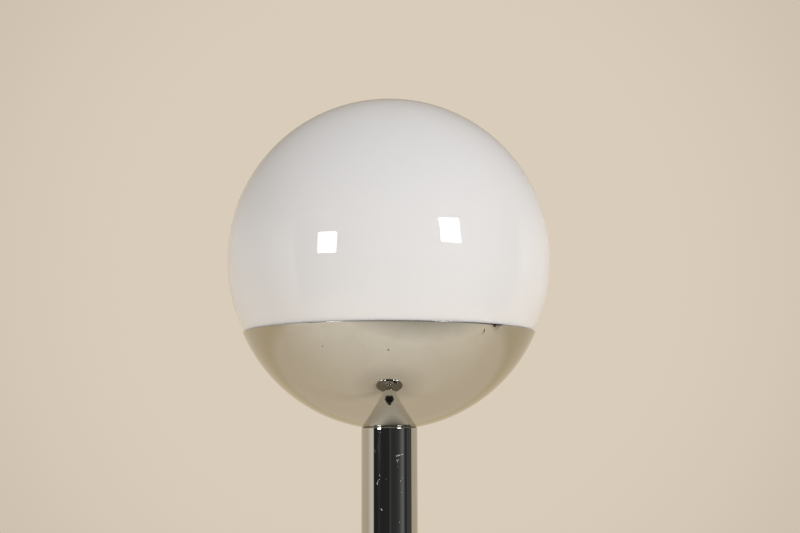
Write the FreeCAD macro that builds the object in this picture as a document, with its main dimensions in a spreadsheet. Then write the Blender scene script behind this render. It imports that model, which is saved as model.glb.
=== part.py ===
import FreeCAD, Part
import math
import os
import re

import Sketcher

# A globe floor lamp: an opal glass globe rests in a mirror-plated bowl on a thick plated column,
# which stands on a low round foot. One hollow tie rod runs from the foot to the lampholder and
# clamps everything between its nuts. Millimetres, Z up, the origin on the floor in the middle of
# the foot, the dimmer's knob at the front (-Y) and the cord's inlet at the back (+Y).

# Driving sizes. Heights are above the floor, depths are below the centre of the globe.
SIZES = {
    # globe and bowl
    "globe_centre": 1225.0,
    "globe_radius": 175.0,
    "glass_wall": 3.0,
    "mouth_depth": 120.0,
    "rim_depth": 80.0,
    "rim_gap": 0.6,
    "floor_gap": 7.0,
    "bowl_wall": 1.2,
    "gasket_low_depth": 115.0,
    "gasket_high_depth": 103.0,
    "soft_clearance": 0.3,
    "seat_clearance": 0.12,
    # foot
    "base_radius": 140.0,
    "base_height": 32.0,
    "shoulder_height": 16.0,
    "cover_wall": 1.5,
    "cover_lift": 1.0,
    "felt_thickness": 2.0,
    "felt_inset": 7.0,
    "plate_thickness": 1.5,
    "plate_gap": 2.0,
    "weight_gap": 2.5,
    "recess_radius": 30.0,
    "recess_depth": 20.0,
    "channel_width": 30.0,
    "screw_circle": 110.0,
    "screw_radius": 2.4,
    "screw_head": 4.3,
    "screw_length": 10.0,
    "hole_spare": 2.0,
    "hole_clearance": 0.1,
    # cord inlet
    "gland_height": 9.0,
    "gland_bore": 3.6,
    "gland_neck": 5.0,
    "gland_flange": 6.5,
    "gland_flange_thickness": 2.5,
    "gland_snap": 5.8,
    "gland_snap_length": 2.2,
    "gland_length": 11.5,
    "gland_bevel": 1.0,
    # terminals in the foot
    "block_width": 24.0,
    "block_length": 22.0,
    "block_height": 14.0,
    "block_distance": 45.0,
    "block_screw": 1.8,
    "block_screw_height": 1.2,
    "block_pitch": 8.0,
    "tag_distance": 20.0,
    "tag_radius": 5.0,
    "tag_thickness": 0.8,
    "earth_screw_radius": 2.0,
    "earth_screw_head": 3.8,
    "earth_screw_head_height": 2.4,
    # column and tie rod
    "column_radius": 30.0,
    "column_wall": 2.0,
    "seat_ring_height": 1.0,
    "seat_ring_proud": 0.4,
    "plug_clearance": 0.05,
    "foot_plug_height": 12.0,
    "head_disc_height": 4.0,
    "head_disc_drop": 16.0,
    "rod_radius": 5.0,
    "rod_bore": 3.5,
    "rod_clearance": 0.2,
    "rod_below_nut": 2.0,
    "thread_clearance": 0.05,
    "nut_across": 17.0,
    "nut_height": 5.0,
    "washer_radius": 12.0,
    "washer_thickness": 1.5,
    "saddle_radius": 16.0,
    "saddle_height": 5.0,
    "saddle_bevel": 2.0,
    "locknut_across": 14.0,
    "locknut_height": 3.0,
    # lampholder
    "holder_radius": 19.5,
    "holder_wall": 2.0,
    "holder_bevel": 1.0,
    "boss_radius": 8.0,
    "boss_height": 10.0,
    "cap_cone": 12.0,
    "cap_ledge": 18.0,
    "cap_height": 24.0,
    "ledge_width": 1.5,
    "insert_height": 11.0,
    "insert_step": 2.4,
    "fit_clearance": 0.1,
    "sleeve_height": 32.0,
    "thread_radius": 13.4,
    "thread_wall": 0.4,
    "thread_height": 22.0,
    "thread_foot": 9.0,
    "strip_width": 6.0,
    "strip_length": 16.0,
    "strip_thickness": 0.6,
    "button_radius": 2.6,
    "contact_rise": 3.7,
    "contact_gap": 0.3,
    "ring_radius": 26.0,
    "ring_height": 4.0,
    "ring_lift": 10.0,
    # bulb
    "bulb_radius": 30.0,
    "bulb_reach": 77.0,
    "bulb_wall": 0.8,
    "bulb_cap_radius": 13.1,
    "bulb_cap_wall": 0.3,
    "bulb_cap_top": 27.0,
    "bulb_cap_foot": 4.7,
    "bulb_cap_bevel": 1.8,
    "bulb_cap_lip": 11.4,
    "insulator_foot": 4.5,
    "insulator_top": 8.0,
    "bulb_tip_radius": 4.0,
    "bulb_tip_height": 1.5,
    "bulb_neck": 12.4,
    "bulb_neck_foot": 16.0,
    "stem_radius": 3.0,
    "stem_flare": 10.0,
    "stem_top": 48.0,
    "filament_span": 11.0,
    "filament_height": 68.0,
    "wire_radius": 0.4,
    # dimmer, on an axis square to the column; depths are distances from the column's axis
    "dimmer_drop": 317.0,
    "bush_radius": 4.0,
    "bush_foot": 22.0,
    "bush_proud": 4.5,
    "bush_bevel": 0.5,
    "dimmer_width": 22.0,
    "dimmer_height": 30.0,
    "dimmer_back": 13.0,
    "dimmer_floor": 17.0,
    "washer_reach": 7.0,
    "washer_proud": 1.2,
    "ring_nut_across": 11.0,
    "ring_nut_height": 2.0,
    "spindle_radius": 3.0,
    "spindle_clearance": 0.05,
    "spindle_collar": 3.7,
    "spindle_flat": 1.6,
    "spindle_grip": 12.0,
    "knob_gap": 0.8,
    "knob_length": 22.0,
    "knob_radius": 11.0,
    "knob_tip": 8.0,
    "knob_bevel": 0.8,
    "knob_wall": 5.0,
    "recess_reach": 8.2,
    "knob_recess": 5.0,
    "tab_reach": 8.0,
    "tab_depth": 18.0,
    "tab_length": 7.0,
    "tab_thickness": 0.8,
    "tab_width": 4.0,
    # leads
    "riser_radius": 2.4,
    "riser_height": 7.0,
    "riser_bend": 8.0,
    "lead_radius": 1.1,
    "lead_hole": 1.4,
}

# The closing plate's screws, and the angle of the first one from the X axis.
SCREWS = 3
FIRST_SCREW = 30

# Heights and radii that follow from the driving sizes.
PLACES = {
    # The bowl's inside is the sphere through its lowest point and its rim.
    "bowl_reach": "globe_radius + floor_gap",
    "rim_inner": "sqrt(globe_radius^2 - rim_depth^2) + rim_gap",
    "bowl_drop": "(bowl_reach^2 - rim_inner^2 - rim_depth^2) / (2 * (bowl_reach - rim_depth))",
    "bowl_inner": "bowl_reach - bowl_drop",
    "bowl_outer": "bowl_inner + bowl_wall",
    "bowl_centre": "globe_centre - bowl_drop",
    "bowl_floor": "bowl_centre - bowl_inner",
    "rim_height": "globe_centre - rim_depth",
    "rod_hole": "rod_radius + rod_clearance",
    "rod_thread": "rod_radius + thread_clearance",
    # foot
    "plate_top": "felt_thickness + plate_thickness",
    "weight_top": "base_height - cover_wall",
    "weight_radius": "base_radius - cover_wall - weight_gap",
    "base_shoulder": "base_height - shoulder_height",
    "shoulder_inner": "base_shoulder - cover_wall",
    "recess_top": "plate_top + recess_depth",
    "earth_screw_length": "0.7 * (weight_top - recess_top)",
    "nut_top": "recess_top - washer_thickness",
    "rod_bottom": "nut_top - nut_height - rod_below_nut",
    # The column's rounded lip touches the bowl all round.
    "lip": "column_wall / 2",
    "column_middle": "column_radius - lip",
    "column_inner": "column_radius - column_wall",
    "lip_centre": "bowl_centre - sqrt((bowl_outer + lip + seat_clearance)^2 - column_middle^2)",
    "column_foot_height": "base_height + seat_ring_height",
    "plug_radius": "column_inner - plug_clearance",
    "saddle_top": "bowl_floor + saddle_height",
    # The bulb's widest part is level with the centre of the globe.
    "tip_height": "globe_centre - bulb_reach",
    "insert_top": "tip_height - contact_gap - contact_rise",
    "holder_base": "insert_top - insert_height - cap_ledge",
    "rod_top": "holder_base + boss_height",
    "holder_inner": "holder_radius - holder_wall",
    "insert_radius": "holder_inner - fit_clearance",
    "insert_top_radius": "insert_radius - insert_step",
    "sleeve_base": "holder_base + cap_height",
    "neck_drop": "bulb_reach - bulb_cap_top",
    "neck_turn": "atan(bulb_neck / neck_drop) + acos(bulb_radius / sqrt(bulb_neck^2 + neck_drop^2))",
    # dimmer
    "knob_height": "globe_centre - dimmer_drop",
    "dimmer_foot": "knob_height - dimmer_height / 2",
    "dimmer_reach": "column_inner - seat_clearance",
    "nut_seat": "column_radius + washer_proud",
    "knob_foot": "column_radius + knob_gap",
    "knob_end": "column_radius + knob_length",
    "knob_roof": "knob_foot + knob_recess",
    "spindle_end": "knob_end - knob_wall",
}

doc = FreeCAD.newDocument("GlobeFloorLamp")
Vector = FreeCAD.Vector


def fill_sheet(label, cells, sign=""):
    """Write names and values into a new sheet, each value under its name as an alias."""
    sheet = doc.addObject("Spreadsheet::Sheet", label)
    for row, (name, text) in enumerate(cells.items(), 1):
        sheet.set(f"A{row}", name)
        sheet.setAlias(f"B{row}", name)
        sheet.set(f"B{row}", sign + str(text))
    return sheet


def link(text):
    """Point every size or place named in an expression at its cell."""
    def cell(match):
        word = match.group()
        if word in SIZES:
            return "Sizes." + word
        return "Places." + word if word in PLACES else word
    return re.sub(r"[a-z][a-z_]+", cell, text)


sizes = fill_sheet("Sizes", SIZES)
places = fill_sheet("Places", {name: link(text) for name, text in PLACES.items()}, "=")
doc.recompute()
WORKING_CELL = "D1"


def number(text):
    """What an expression comes to now, worked out in a spare cell of the sheet of places."""
    places.set(WORKING_CELL, "=" + link(text))
    places.recompute()
    return float(places.get(WORKING_CELL))


def new_body(node):
    """An empty body that will be one node."""
    body = doc.addObject("PartDesign::Body", node)
    body.Label = node
    return body


def origin_item(body, role):
    """One of the planes or axes at the body's own origin."""
    return next(item for item in body.Origin.OriginFeatures if item.Role == role)


def new_sketch(body, role="XZ_Plane", lift=None):
    """A sketch on one of the body's origin planes, or parallel to it at a height."""
    sketch = body.newObject("Sketcher::SketchObject", "Profile")
    sketch.AttachmentSupport = [(origin_item(body, role), "")]
    sketch.MapMode = "FlatFace"
    if lift:
        sketch.setExpression("AttachmentOffset.Base.z", link(lift))
    return sketch


def hold(sketch, kind, geometry, point, text):
    """Fix a point's distance from the sketch's origin to an expression."""
    index = sketch.addConstraint(Sketcher.Constraint(kind, -1, 1, geometry, point, number(text)))
    sketch.setExpression(f"Constraints[{index}]", link(text))


def arc(centre_x, centre_y, turn, held="x"):
    """An arc for outline(): its centre, its turn (1 is anticlockwise) and the coordinate that is held."""
    return centre_x, centre_y, turn, held


def outline(sketch, *corners):
    """Close a profile through corners (x, y) or (x, y, arc), where the arc leaves that corner."""
    spots = [Vector(number(corner[0]), number(corner[1]), 0) for corner in corners]
    edges = []
    for place, corner in enumerate(corners):
        start, end = spots[place], spots[(place + 1) % len(spots)]
        if len(corner) == 2:
            edges.append((sketch.addGeometry(Part.LineSegment(start, end), False), 1, 2))
            continue
        centre_x, centre_y, turn, held = corner[2]
        centre = Vector(number(centre_x), number(centre_y), 0)
        first, last = (start, end) if turn > 0 else (end, start)
        angles = [math.atan2(spot.y - centre.y, spot.x - centre.x) for spot in (first, last)]
        if angles[1] < angles[0]:
            angles[1] += 2 * math.pi
        circle = Part.Circle(centre, Vector(0, 0, 1), (start - centre).Length)
        index = sketch.addGeometry(Part.ArcOfCircle(circle, *angles), False)
        edges.append((index, 1, 2) if turn > 0 else (index, 2, 1))
        if held == "x":
            hold(sketch, "DistanceX", index, 3, centre_x)
        else:
            hold(sketch, "DistanceY", index, 3, centre_y)
    for place, corner in enumerate(corners):
        index, first, last = edges[place]
        following = edges[(place + 1) % len(edges)]
        sketch.addConstraint(Sketcher.Constraint("Coincident", index, last, following[0], following[1]))
        hold(sketch, "DistanceX", index, first, corner[0])
        hold(sketch, "DistanceY", index, first, corner[1])


def circle(sketch, radius, centre_x="0", centre_y="0"):
    """A circle whose radius and centre follow expressions."""
    centre = Vector(number(centre_x), number(centre_y), 0)
    index = sketch.addGeometry(Part.Circle(centre, Vector(0, 0, 1), number(radius)), False)
    size = sketch.addConstraint(Sketcher.Constraint("Radius", index, number(radius)))
    sketch.setExpression(f"Constraints[{size}]", link(radius))
    hold(sketch, "DistanceX", index, 3, centre_x)
    hold(sketch, "DistanceY", index, 3, centre_y)


def rectangle(sketch, left, right, bottom, top):
    """A rectangle between four expressions."""
    outline(sketch, (left, bottom), (right, bottom), (right, top), (left, top))


def revolve(body, sketch):
    """Turn a profile once round the vertical axis of its sketch."""
    feature = body.newObject("PartDesign::Revolution", "Turning")
    feature.Profile = sketch
    feature.ReferenceAxis = (sketch, ["V_Axis"])
    feature.Angle = 360
    sketch.Visibility = False
    return feature


def pad(body, sketch, length):
    """Raise a profile along its sketch's normal."""
    feature = body.newObject("PartDesign::Pad", "Pad")
    feature.Profile = sketch
    feature.setExpression("Length", link(length))
    return feature


def pocket(body, sketch, depth=None, forward=False):
    """Cut a profile against its sketch's normal, or along it, to a depth or right through."""
    feature = body.newObject("PartDesign::Pocket", "Pocket")
    feature.Profile = sketch
    feature.Reversed = forward
    if depth:
        feature.setExpression("Length", link(depth))
    else:
        feature.Type = "ThroughAll"
    doc.recompute()
    if feature.Shape.Volume >= feature.BaseFeature.Shape.Volume:
        raise ValueError(f"a cut in {body.Label} removes nothing")
    return feature


def around(body, feature, count):
    """Repeat a feature evenly round the body's Z axis."""
    doc.recompute()
    pattern = body.newObject("PartDesign::PolarPattern", "Ring")
    pattern.Originals = [feature]
    pattern.Axis = (origin_item(body, "Z_Axis"), [""])
    pattern.Angle = 360
    pattern.Occurrences = count
    body.Tip = pattern
    return pattern


def turned(node, *corners):
    """A turned piece: a closed half section, radius by height, round the Z axis."""
    body = new_body(node)
    sketch = new_sketch(body)
    outline(sketch, *corners)
    revolve(body, sketch)
    return body


def ring(node, inner, outer, bottom, top):
    """A flat ring or a plain tube."""
    return turned(node, (inner, bottom), (outer, bottom), (outer, top), (inner, top))


def hexagon(sketch, across, centre_y="0"):
    """A hexagon with its width across the flats and two corners level with its centre."""
    reach = f"{across} / sqrt(3)"
    turns = range(0, 360, 60)
    outline(sketch, *[(f"{reach} * cos({turn})", f"{centre_y} + {reach} * sin({turn})") for turn in turns])


def hex_nut(node, across, height, bottom):
    """A hexagon nut on the tie rod."""
    body = new_body(node)
    sketch = new_sketch(body, "XY_Plane", bottom)
    hexagon(sketch, across)
    circle(sketch, "rod_thread")
    pad(body, sketch, height)
    return body


def place(piece, turn=None, **base):
    """Place a piece: base gives x, y or z as expressions, turn an angle about the X axis."""
    if turn:
        piece.Placement = FreeCAD.Placement(Vector(0, 0, 0), FreeCAD.Rotation(Vector(1, 0, 0), 90))
        piece.setExpression("Placement.Rotation.Angle", link(turn))
    for axis, text in base.items():
        piece.setExpression(f"Placement.Base.{axis}", link(text))
    return piece


def on_knob_axis(piece):
    """Lay a piece that was made round the Z axis on the dimmer's axis, its top to the front."""
    return place(piece, "90", z="knob_height")


def lead_holes(body):
    """Drill the two holes that the dimmer's leads run down through."""
    sketch = new_sketch(body, "XY_Plane")
    for side in (-1, 1):
        circle(sketch, "lead_hole", f"{side} * tab_reach", "-tab_depth")
    pocket(body, sketch, forward=True)


def tube(node, radius, points, bends):
    """A round lead through points: straight runs joined by tangent arcs of the given radii."""
    edges = []
    start = points[0]
    for before, corner, after, bend in zip(points, points[1:], points[2:], bends):
        inward = (corner - before).normalize()
        outward = (after - corner).normalize()
        half = inward.getAngle(outward) / 2
        leave = corner - inward * (bend * math.tan(half))
        meet = corner + outward * (bend * math.tan(half))
        towards = (outward - inward).normalize()
        middle = corner + towards * (bend / math.cos(half) - bend)
        edges.append(Part.LineSegment(start, leave).toShape())
        edges.append(Part.Arc(leave, middle, meet).toShape())
        start = meet
    edges.append(Part.LineSegment(start, points[-1]).toShape())
    path = Part.Wire(edges)
    section = Part.Wire([Part.Circle(points[0], points[1] - points[0], radius).toShape()])
    solid = path.makePipeShell([section], True, False)
    expected = math.pi * radius**2 * path.Length
    print(f"{node}: length {path.Length:.1f}, bend radii {[round(bend, 1) for bend in bends]}")
    if abs(solid.Volume / expected - 1) > 0.01:
        raise ValueError(f"{node} doesn't hold its section times its length")
    return solid


def leads(node, solids):
    """A node of one or more leads."""
    piece = doc.addObject("Part::Feature", node)
    piece.Label = node
    piece.Shape = solids[0] if len(solids) == 1 else Part.makeCompound(solids)
    return piece


# ---- foot ----

def make_felt_pad():
    """Felt under the foot, which the lamp rests on."""
    return ring("felt_pad", "0", "base_radius - felt_inset", "0", "felt_thickness")


def screw_profile(body, grow, *shank):
    """Half section of a countersunk screw on the screw circle, its axis the last edge drawn."""
    sketch = new_sketch(body)
    outline(
        sketch,
        ("screw_circle", "felt_thickness"),
        (f"screw_circle + screw_head + {grow}", "felt_thickness"),
        (f"screw_circle + screw_radius + {grow}", "plate_top"),
        *shank,
    )
    return sketch, [f"Edge{sketch.GeometryCount}"]


def turn_to_screws(body):
    """Turn a piece about Z so that its screws miss the channel at the back."""
    body.Placement = FreeCAD.Placement(Vector(0, 0, 0), FreeCAD.Rotation(Vector(0, 0, 1), FIRST_SCREW))
    return body


def make_closing_plate():
    """Steel disc that closes the foot from below, countersunk for its screws."""
    body = ring("closing_plate", "0", "base_radius - cover_wall - plate_gap", "felt_thickness", "plate_top")
    sketch, axis = screw_profile(body, "hole_clearance", ("screw_circle", "plate_top"))
    countersink = body.newObject("PartDesign::Groove", "Countersink")
    countersink.Profile = sketch
    countersink.ReferenceAxis = (sketch, axis)
    countersink.Angle = 360
    around(body, countersink, SCREWS)
    return turn_to_screws(body)


def make_closing_screws():
    """Countersunk screws that hold the closing plate to the weight."""
    body = new_body("closing_screws")
    body.AllowCompound = True
    end = "plate_top + screw_length"
    sketch, axis = screw_profile(body, "0", ("screw_circle + screw_radius", end), ("screw_circle", end))
    screw = body.newObject("PartDesign::Revolution", "Screw")
    screw.Profile = sketch
    screw.ReferenceAxis = (sketch, axis)
    screw.Angle = 360
    around(body, screw, SCREWS)
    return turn_to_screws(body)


def make_base_weight():
    """Cast iron disc with a recess for the nut and a channel to the cord's inlet."""
    body = turned(
        "base_weight",
        ("rod_hole", "recess_top"),
        ("recess_radius", "recess_top"),
        ("recess_radius", "plate_top"),
        ("weight_radius", "plate_top"),
        ("weight_radius", "shoulder_height", arc("weight_radius - shoulder_inner", "shoulder_height", 1)),
        ("weight_radius - shoulder_inner", "weight_top"),
        ("rod_hole", "weight_top"),
    )
    channel = new_sketch(body, "XY_Plane", "plate_top")
    rectangle(channel, "-channel_width / 2", "channel_width / 2", "0", "base_radius")
    pocket(body, channel, "recess_depth", forward=True)
    holes = new_sketch(body, "XY_Plane", "plate_top")
    for place_on_circle in range(SCREWS):
        turn = FIRST_SCREW + place_on_circle * 360 / SCREWS
        circle(holes, "screw_radius + hole_clearance",
               f"screw_circle * cos({turn})", f"screw_circle * sin({turn})")
    pocket(body, holes, "screw_length + hole_spare", forward=True)
    earth = new_sketch(body, "XY_Plane", "recess_top")
    circle(earth, "earth_screw_radius + hole_clearance", "-tag_distance")
    pocket(body, earth, "earth_screw_length + hole_clearance", forward=True)
    lead_holes(body)
    return body


def make_base_cover():
    """Spun and plated cover with a rounded shoulder and the gland's hole at the back."""
    inside = "base_radius - cover_wall"
    flat = "base_radius - base_shoulder"
    body = turned(
        "base_cover",
        ("base_radius", "cover_lift"),
        ("base_radius", "shoulder_height", arc(flat, "shoulder_height", 1)),
        (flat, "base_height"),
        ("rod_hole", "base_height"),
        ("rod_hole", "weight_top"),
        (flat, "weight_top", arc(flat, "shoulder_height", -1)),
        (inside, "shoulder_height"),
        (inside, "cover_lift"),
    )
    sketch = new_sketch(body)
    circle(sketch, "gland_neck + hole_clearance", "0", "gland_height")
    pocket(body, sketch)
    lead_holes(body)
    return body


def make_cord_gland():
    """Snap-in bush for the cord: a flange outside, a snap ring inside and a plain sleeve."""
    wall = "cover_wall + soft_clearance"
    snap_end = f"-({wall} + gland_snap_length)"
    body = turned(
        "cord_gland",
        ("gland_bore", "-gland_length"),
        ("gland_neck", "-gland_length"),
        ("gland_neck", snap_end),
        ("gland_snap", f"-({wall})"),
        ("gland_neck", f"-({wall})"),
        ("gland_neck", "0"),
        ("gland_flange", "0"),
        ("gland_flange", "gland_flange_thickness - gland_bevel"),
        ("gland_flange - gland_bevel", "gland_flange_thickness"),
        ("gland_bore", "gland_flange_thickness"),
    )
    return place(body, "-90", y="base_radius", z="gland_height")


def make_terminal_block():
    """Three-way screw connector that stands on the closing plate in the channel."""
    body = new_body("terminal_block")
    sketch = new_sketch(body, "XY_Plane", "plate_top")
    rectangle(sketch, "-block_width / 2", "block_width / 2",
              "block_distance", "block_distance + block_length")
    pad(body, sketch, "block_height")
    return body


def make_terminal_screws():
    """Two rows of three clamping screws on the connector."""
    body = new_body("terminal_screws")
    body.AllowCompound = True
    sketch = new_sketch(body, "XY_Plane", "plate_top + block_height")
    for column in (-1, 0, 1):
        for row in (1, 3):
            circle(sketch, "block_screw", f"{column} * block_pitch",
                   f"block_distance + block_length * {row} / 4")
    pad(body, sketch, "block_screw_height")
    return body


def make_earth_tag():
    """Ring tag that the earth core ends in, against the roof of the recess."""
    body = new_body("earth_tag")
    sketch = new_sketch(body, "XY_Plane", "recess_top - tag_thickness")
    circle(sketch, "tag_radius", "-tag_distance")
    circle(sketch, "earth_screw_radius + hole_clearance", "-tag_distance")
    pad(body, sketch, "tag_thickness")
    return body


def make_earth_screw():
    """Cheese-head screw through the earth tag."""
    under = "recess_top - tag_thickness"
    head, end = f"{under} - earth_screw_head_height", "recess_top + earth_screw_length"
    body = turned(
        "earth_screw",
        ("0", head),
        ("earth_screw_head", head),
        ("earth_screw_head", under),
        ("earth_screw_radius", under),
        ("earth_screw_radius", end),
        ("0", end),
    )
    return place(body, x="-tag_distance")


# ---- column ----

def make_tie_rod():
    """Hollow threaded rod from the foot to the lampholder, with the riser lead inside."""
    return ring("tie_rod", "rod_bore", "rod_radius", "rod_bottom", "rod_top")


def make_column_tube():
    """Thick plated tube, its upper end rounded to a full lip, with the dimmer's hole at the front."""
    body = turned(
        "column_tube",
        ("column_inner", "column_foot_height"),
        ("column_radius", "column_foot_height"),
        ("column_radius", "lip_centre", arc("column_middle", "lip_centre", 1, held="y")),
        ("column_inner", "lip_centre"),
    )
    hole = new_sketch(body)
    circle(hole, "bush_radius + hole_clearance", "0", "knob_height")
    pocket(body, hole, forward=True)
    return body


def make_column_foot():
    """Turned plug that centres the column on the foot."""
    body = ring("column_foot", "rod_hole", "plug_radius", "base_height", "base_height + foot_plug_height")
    lead_holes(body)
    return body


def make_bowl():
    """Spun and plated bowl, part of a sphere, with a hole for the tie rod."""
    centre = ("0", "bowl_centre")
    return turned(
        "bowl",
        ("rod_hole", "bowl_centre - sqrt(bowl_outer^2 - rod_hole^2)", arc(*centre, 1)),
        ("sqrt(bowl_outer^2 - (rim_height - bowl_centre)^2)", "rim_height"),
        ("rim_inner", "rim_height", arc(*centre, -1)),
        ("rod_hole", "bowl_centre - sqrt(bowl_inner^2 - rod_hole^2)"),
    )


def make_bowl_saddle():
    """Dished washer that spreads the nut's load over the bowl's floor."""
    under = "bowl_inner - seat_clearance"
    return turned(
        "bowl_saddle",
        ("rod_hole", f"bowl_centre - sqrt(({under})^2 - rod_hole^2)", arc("0", "bowl_centre", 1)),
        ("saddle_radius", f"bowl_centre - sqrt(({under})^2 - saddle_radius^2)"),
        ("saddle_radius", "saddle_top - saddle_bevel"),
        ("saddle_radius - saddle_bevel", "saddle_top"),
        ("rod_hole", "saddle_top"),
    )


# ---- globe ----

def make_globe_gasket():
    """Soft ring between the glass and the bowl, a slice of the gap between their spheres."""
    def reach(sphere, centre, depth):
        return f"sqrt(({sphere})^2 - ({centre} - globe_centre + {depth})^2)"
    glass, steel = "globe_radius + soft_clearance", "bowl_inner - seat_clearance"
    low, high = "gasket_low_depth", "gasket_high_depth"
    return turned(
        "globe_gasket",
        (reach(glass, "globe_centre", low), f"globe_centre - {low}"),
        (reach(steel, "bowl_centre", low), f"globe_centre - {low}", arc("0", "bowl_centre", 1)),
        (reach(steel, "bowl_centre", high), f"globe_centre - {high}"),
        (reach(glass, "globe_centre", high), f"globe_centre - {high}", arc("0", "globe_centre", -1)),
    )


def make_globe():
    """Blown opal globe, cut off at its mouth, which is inside the bowl."""
    inner = "(globe_radius - glass_wall)"
    centre = ("0", "globe_centre")
    return turned(
        "globe",
        ("sqrt(globe_radius^2 - mouth_depth^2)", "globe_centre - mouth_depth", arc(*centre, 1)),
        ("0", "globe_centre + globe_radius"),
        ("0", f"globe_centre + {inner}", arc(*centre, -1)),
        (f"sqrt({inner}^2 - mouth_depth^2)", "globe_centre - mouth_depth"),
    )


# ---- lampholder ----

def make_holder_cap():
    """Moulded cap that screws on to the tie rod."""
    def up(height):
        return f"holder_base + {height}"
    narrow = "holder_inner - ledge_width"
    return turned(
        "holder_cap",
        ("rod_thread", "holder_base"),
        ("boss_radius", "holder_base"),
        ("holder_radius", up("cap_cone")),
        ("holder_radius", up("cap_height")),
        ("holder_inner", up("cap_height")),
        ("holder_inner", up("cap_ledge")),
        (narrow, up("cap_ledge")),
        (narrow, up("cap_cone + holder_wall")),
        ("boss_radius", up("holder_wall * 2.5")),
        ("boss_radius", up("boss_height")),
        ("rod_thread", up("boss_height")),
    )


def make_holder_insert():
    """Porcelain insert, clamped between the cap and the sleeve."""
    bottom = "holder_base + cap_ledge"
    return turned(
        "holder_insert",
        ("0", bottom),
        ("insert_radius", bottom),
        ("insert_radius", "sleeve_base"),
        ("insert_top_radius", "sleeve_base"),
        ("insert_top_radius", "insert_top"),
        ("0", "insert_top"),
    )


def make_holder_contact():
    """Brass strip with a raised button for the bulb's tip."""
    body = new_body("holder_contact")
    strip = new_sketch(body, "XY_Plane", "insert_top")
    half_width, half_length = "strip_width / 2", "strip_length / 2"
    rectangle(strip, f"-{half_width}", half_width, f"-{half_length}", half_length)
    pad(body, strip, "strip_thickness")
    button = new_sketch(body, "XY_Plane", "insert_top")
    circle(button, "button_radius")
    pad(body, button, "contact_rise")
    return body


def make_holder_thread():
    """Brass thread sleeve that the bulb screws into, with a foot on the insert."""
    outer = "thread_radius + thread_wall"
    return turned(
        "holder_thread",
        ("thread_foot", "insert_top"),
        (outer, "insert_top"),
        (outer, "insert_top + thread_height"),
        ("thread_radius", "insert_top + thread_height"),
        ("thread_radius", "insert_top + thread_wall"),
        ("thread_foot", "insert_top + thread_wall"),
    )


def make_holder_sleeve():
    """Moulded sleeve round the thread, with a ledge that clamps the insert."""
    top = "sleeve_base + sleeve_height"
    ledge = "insert_top_radius + fit_clearance"
    return turned(
        "holder_sleeve",
        (ledge, "sleeve_base"),
        ("holder_radius", "sleeve_base"),
        ("holder_radius", f"{top} - holder_bevel"),
        ("holder_radius - holder_bevel", top),
        ("holder_inner", top),
        ("holder_inner", "sleeve_base + holder_wall"),
        (ledge, "sleeve_base + holder_wall"),
    )


def make_holder_ring():
    """Screw ring on the sleeve."""
    low = "sleeve_base + ring_lift"
    return turned(
        "holder_ring",
        ("holder_radius + thread_clearance", low),
        ("ring_radius - holder_bevel", low),
        ("ring_radius", f"{low} + holder_bevel"),
        ("ring_radius", f"{low} + ring_height - holder_bevel"),
        ("ring_radius - holder_bevel", f"{low} + ring_height"),
        ("holder_radius + thread_clearance", f"{low} + ring_height"),
    )


# ---- bulb ----

def above_tip(height):
    """A height measured up from the bulb's tip."""
    return f"tip_height + {height}"


def make_bulb_glass():
    """Blown envelope: a round head, a cone tangent to it and a neck inside the cap."""
    def head(radius, sign):
        return f"({radius}) * sin(neck_turn)", f"globe_centre - ({radius}) * cos(neck_turn)", \
            arc("0", "globe_centre", sign)
    inner = "bulb_radius - bulb_wall"
    inner_neck = "bulb_neck - bulb_wall"
    foot, shoulder = above_tip("bulb_neck_foot"), above_tip("bulb_cap_top")
    inside = head(inner, -1)
    return turned(
        "bulb_glass",
        (inner_neck, foot),
        ("bulb_neck", foot),
        ("bulb_neck", shoulder),
        head("bulb_radius", 1),
        ("0", "globe_centre + bulb_radius"),
        ("0", f"globe_centre + {inner}", inside[2]),
        inside[:2],
        (inner_neck, shoulder),
    )


def make_bulb_stem():
    """Glass stem that flares to the neck and carries the filament's wires."""
    foot = above_tip("bulb_neck_foot")
    return turned(
        "bulb_stem",
        ("0", foot),
        ("bulb_neck - bulb_wall - plug_clearance", foot),
        ("bulb_neck - bulb_wall - plug_clearance", f"{foot} + bulb_wall"),
        ("stem_radius", f"{foot} + stem_flare"),
        ("stem_radius", above_tip("stem_top")),
        ("0", above_tip("stem_top")),
    )


def make_bulb_filament():
    """Two support wires that spread from the stem, and the filament between their ends."""
    top, wire = number(above_tip("filament_height")), number("wire_radius")
    base, spread = number(above_tip("stem_top + wire_radius")), number("filament_span")
    ends = [Vector(side * spread, 0, top) for side in (-1, 1)]
    roots = [Vector(side * number("stem_radius / 2"), 0, base) for side in (-1, 1)]
    rods = [Part.makeCylinder(wire, (end - root).Length, root, end - root) for root, end in zip(roots, ends)]
    across = ends[1] - ends[0]
    rods.append(Part.makeCylinder(wire, across.Length, ends[0], across))
    joints = [Part.makeSphere(1.2 * wire, end) for end in ends]
    return leads("bulb_filament", [rods[0].fuse(rods[1:] + joints)])


def make_bulb_cap():
    """Screw shell of the bulb; its crests are a running fit inside the holder's thread."""
    inner = "bulb_cap_radius - bulb_cap_wall"
    return turned(
        "bulb_cap",
        ("bulb_cap_lip", above_tip("bulb_cap_foot")),
        ("bulb_cap_radius", above_tip("bulb_cap_foot + bulb_cap_bevel")),
        ("bulb_cap_radius", above_tip("bulb_cap_top")),
        (inner, above_tip("bulb_cap_top")),
        (inner, above_tip("bulb_cap_foot + bulb_cap_bevel + bulb_cap_wall")),
        ("bulb_cap_lip", above_tip("bulb_cap_foot + 2 * bulb_cap_wall")),
    )


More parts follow.
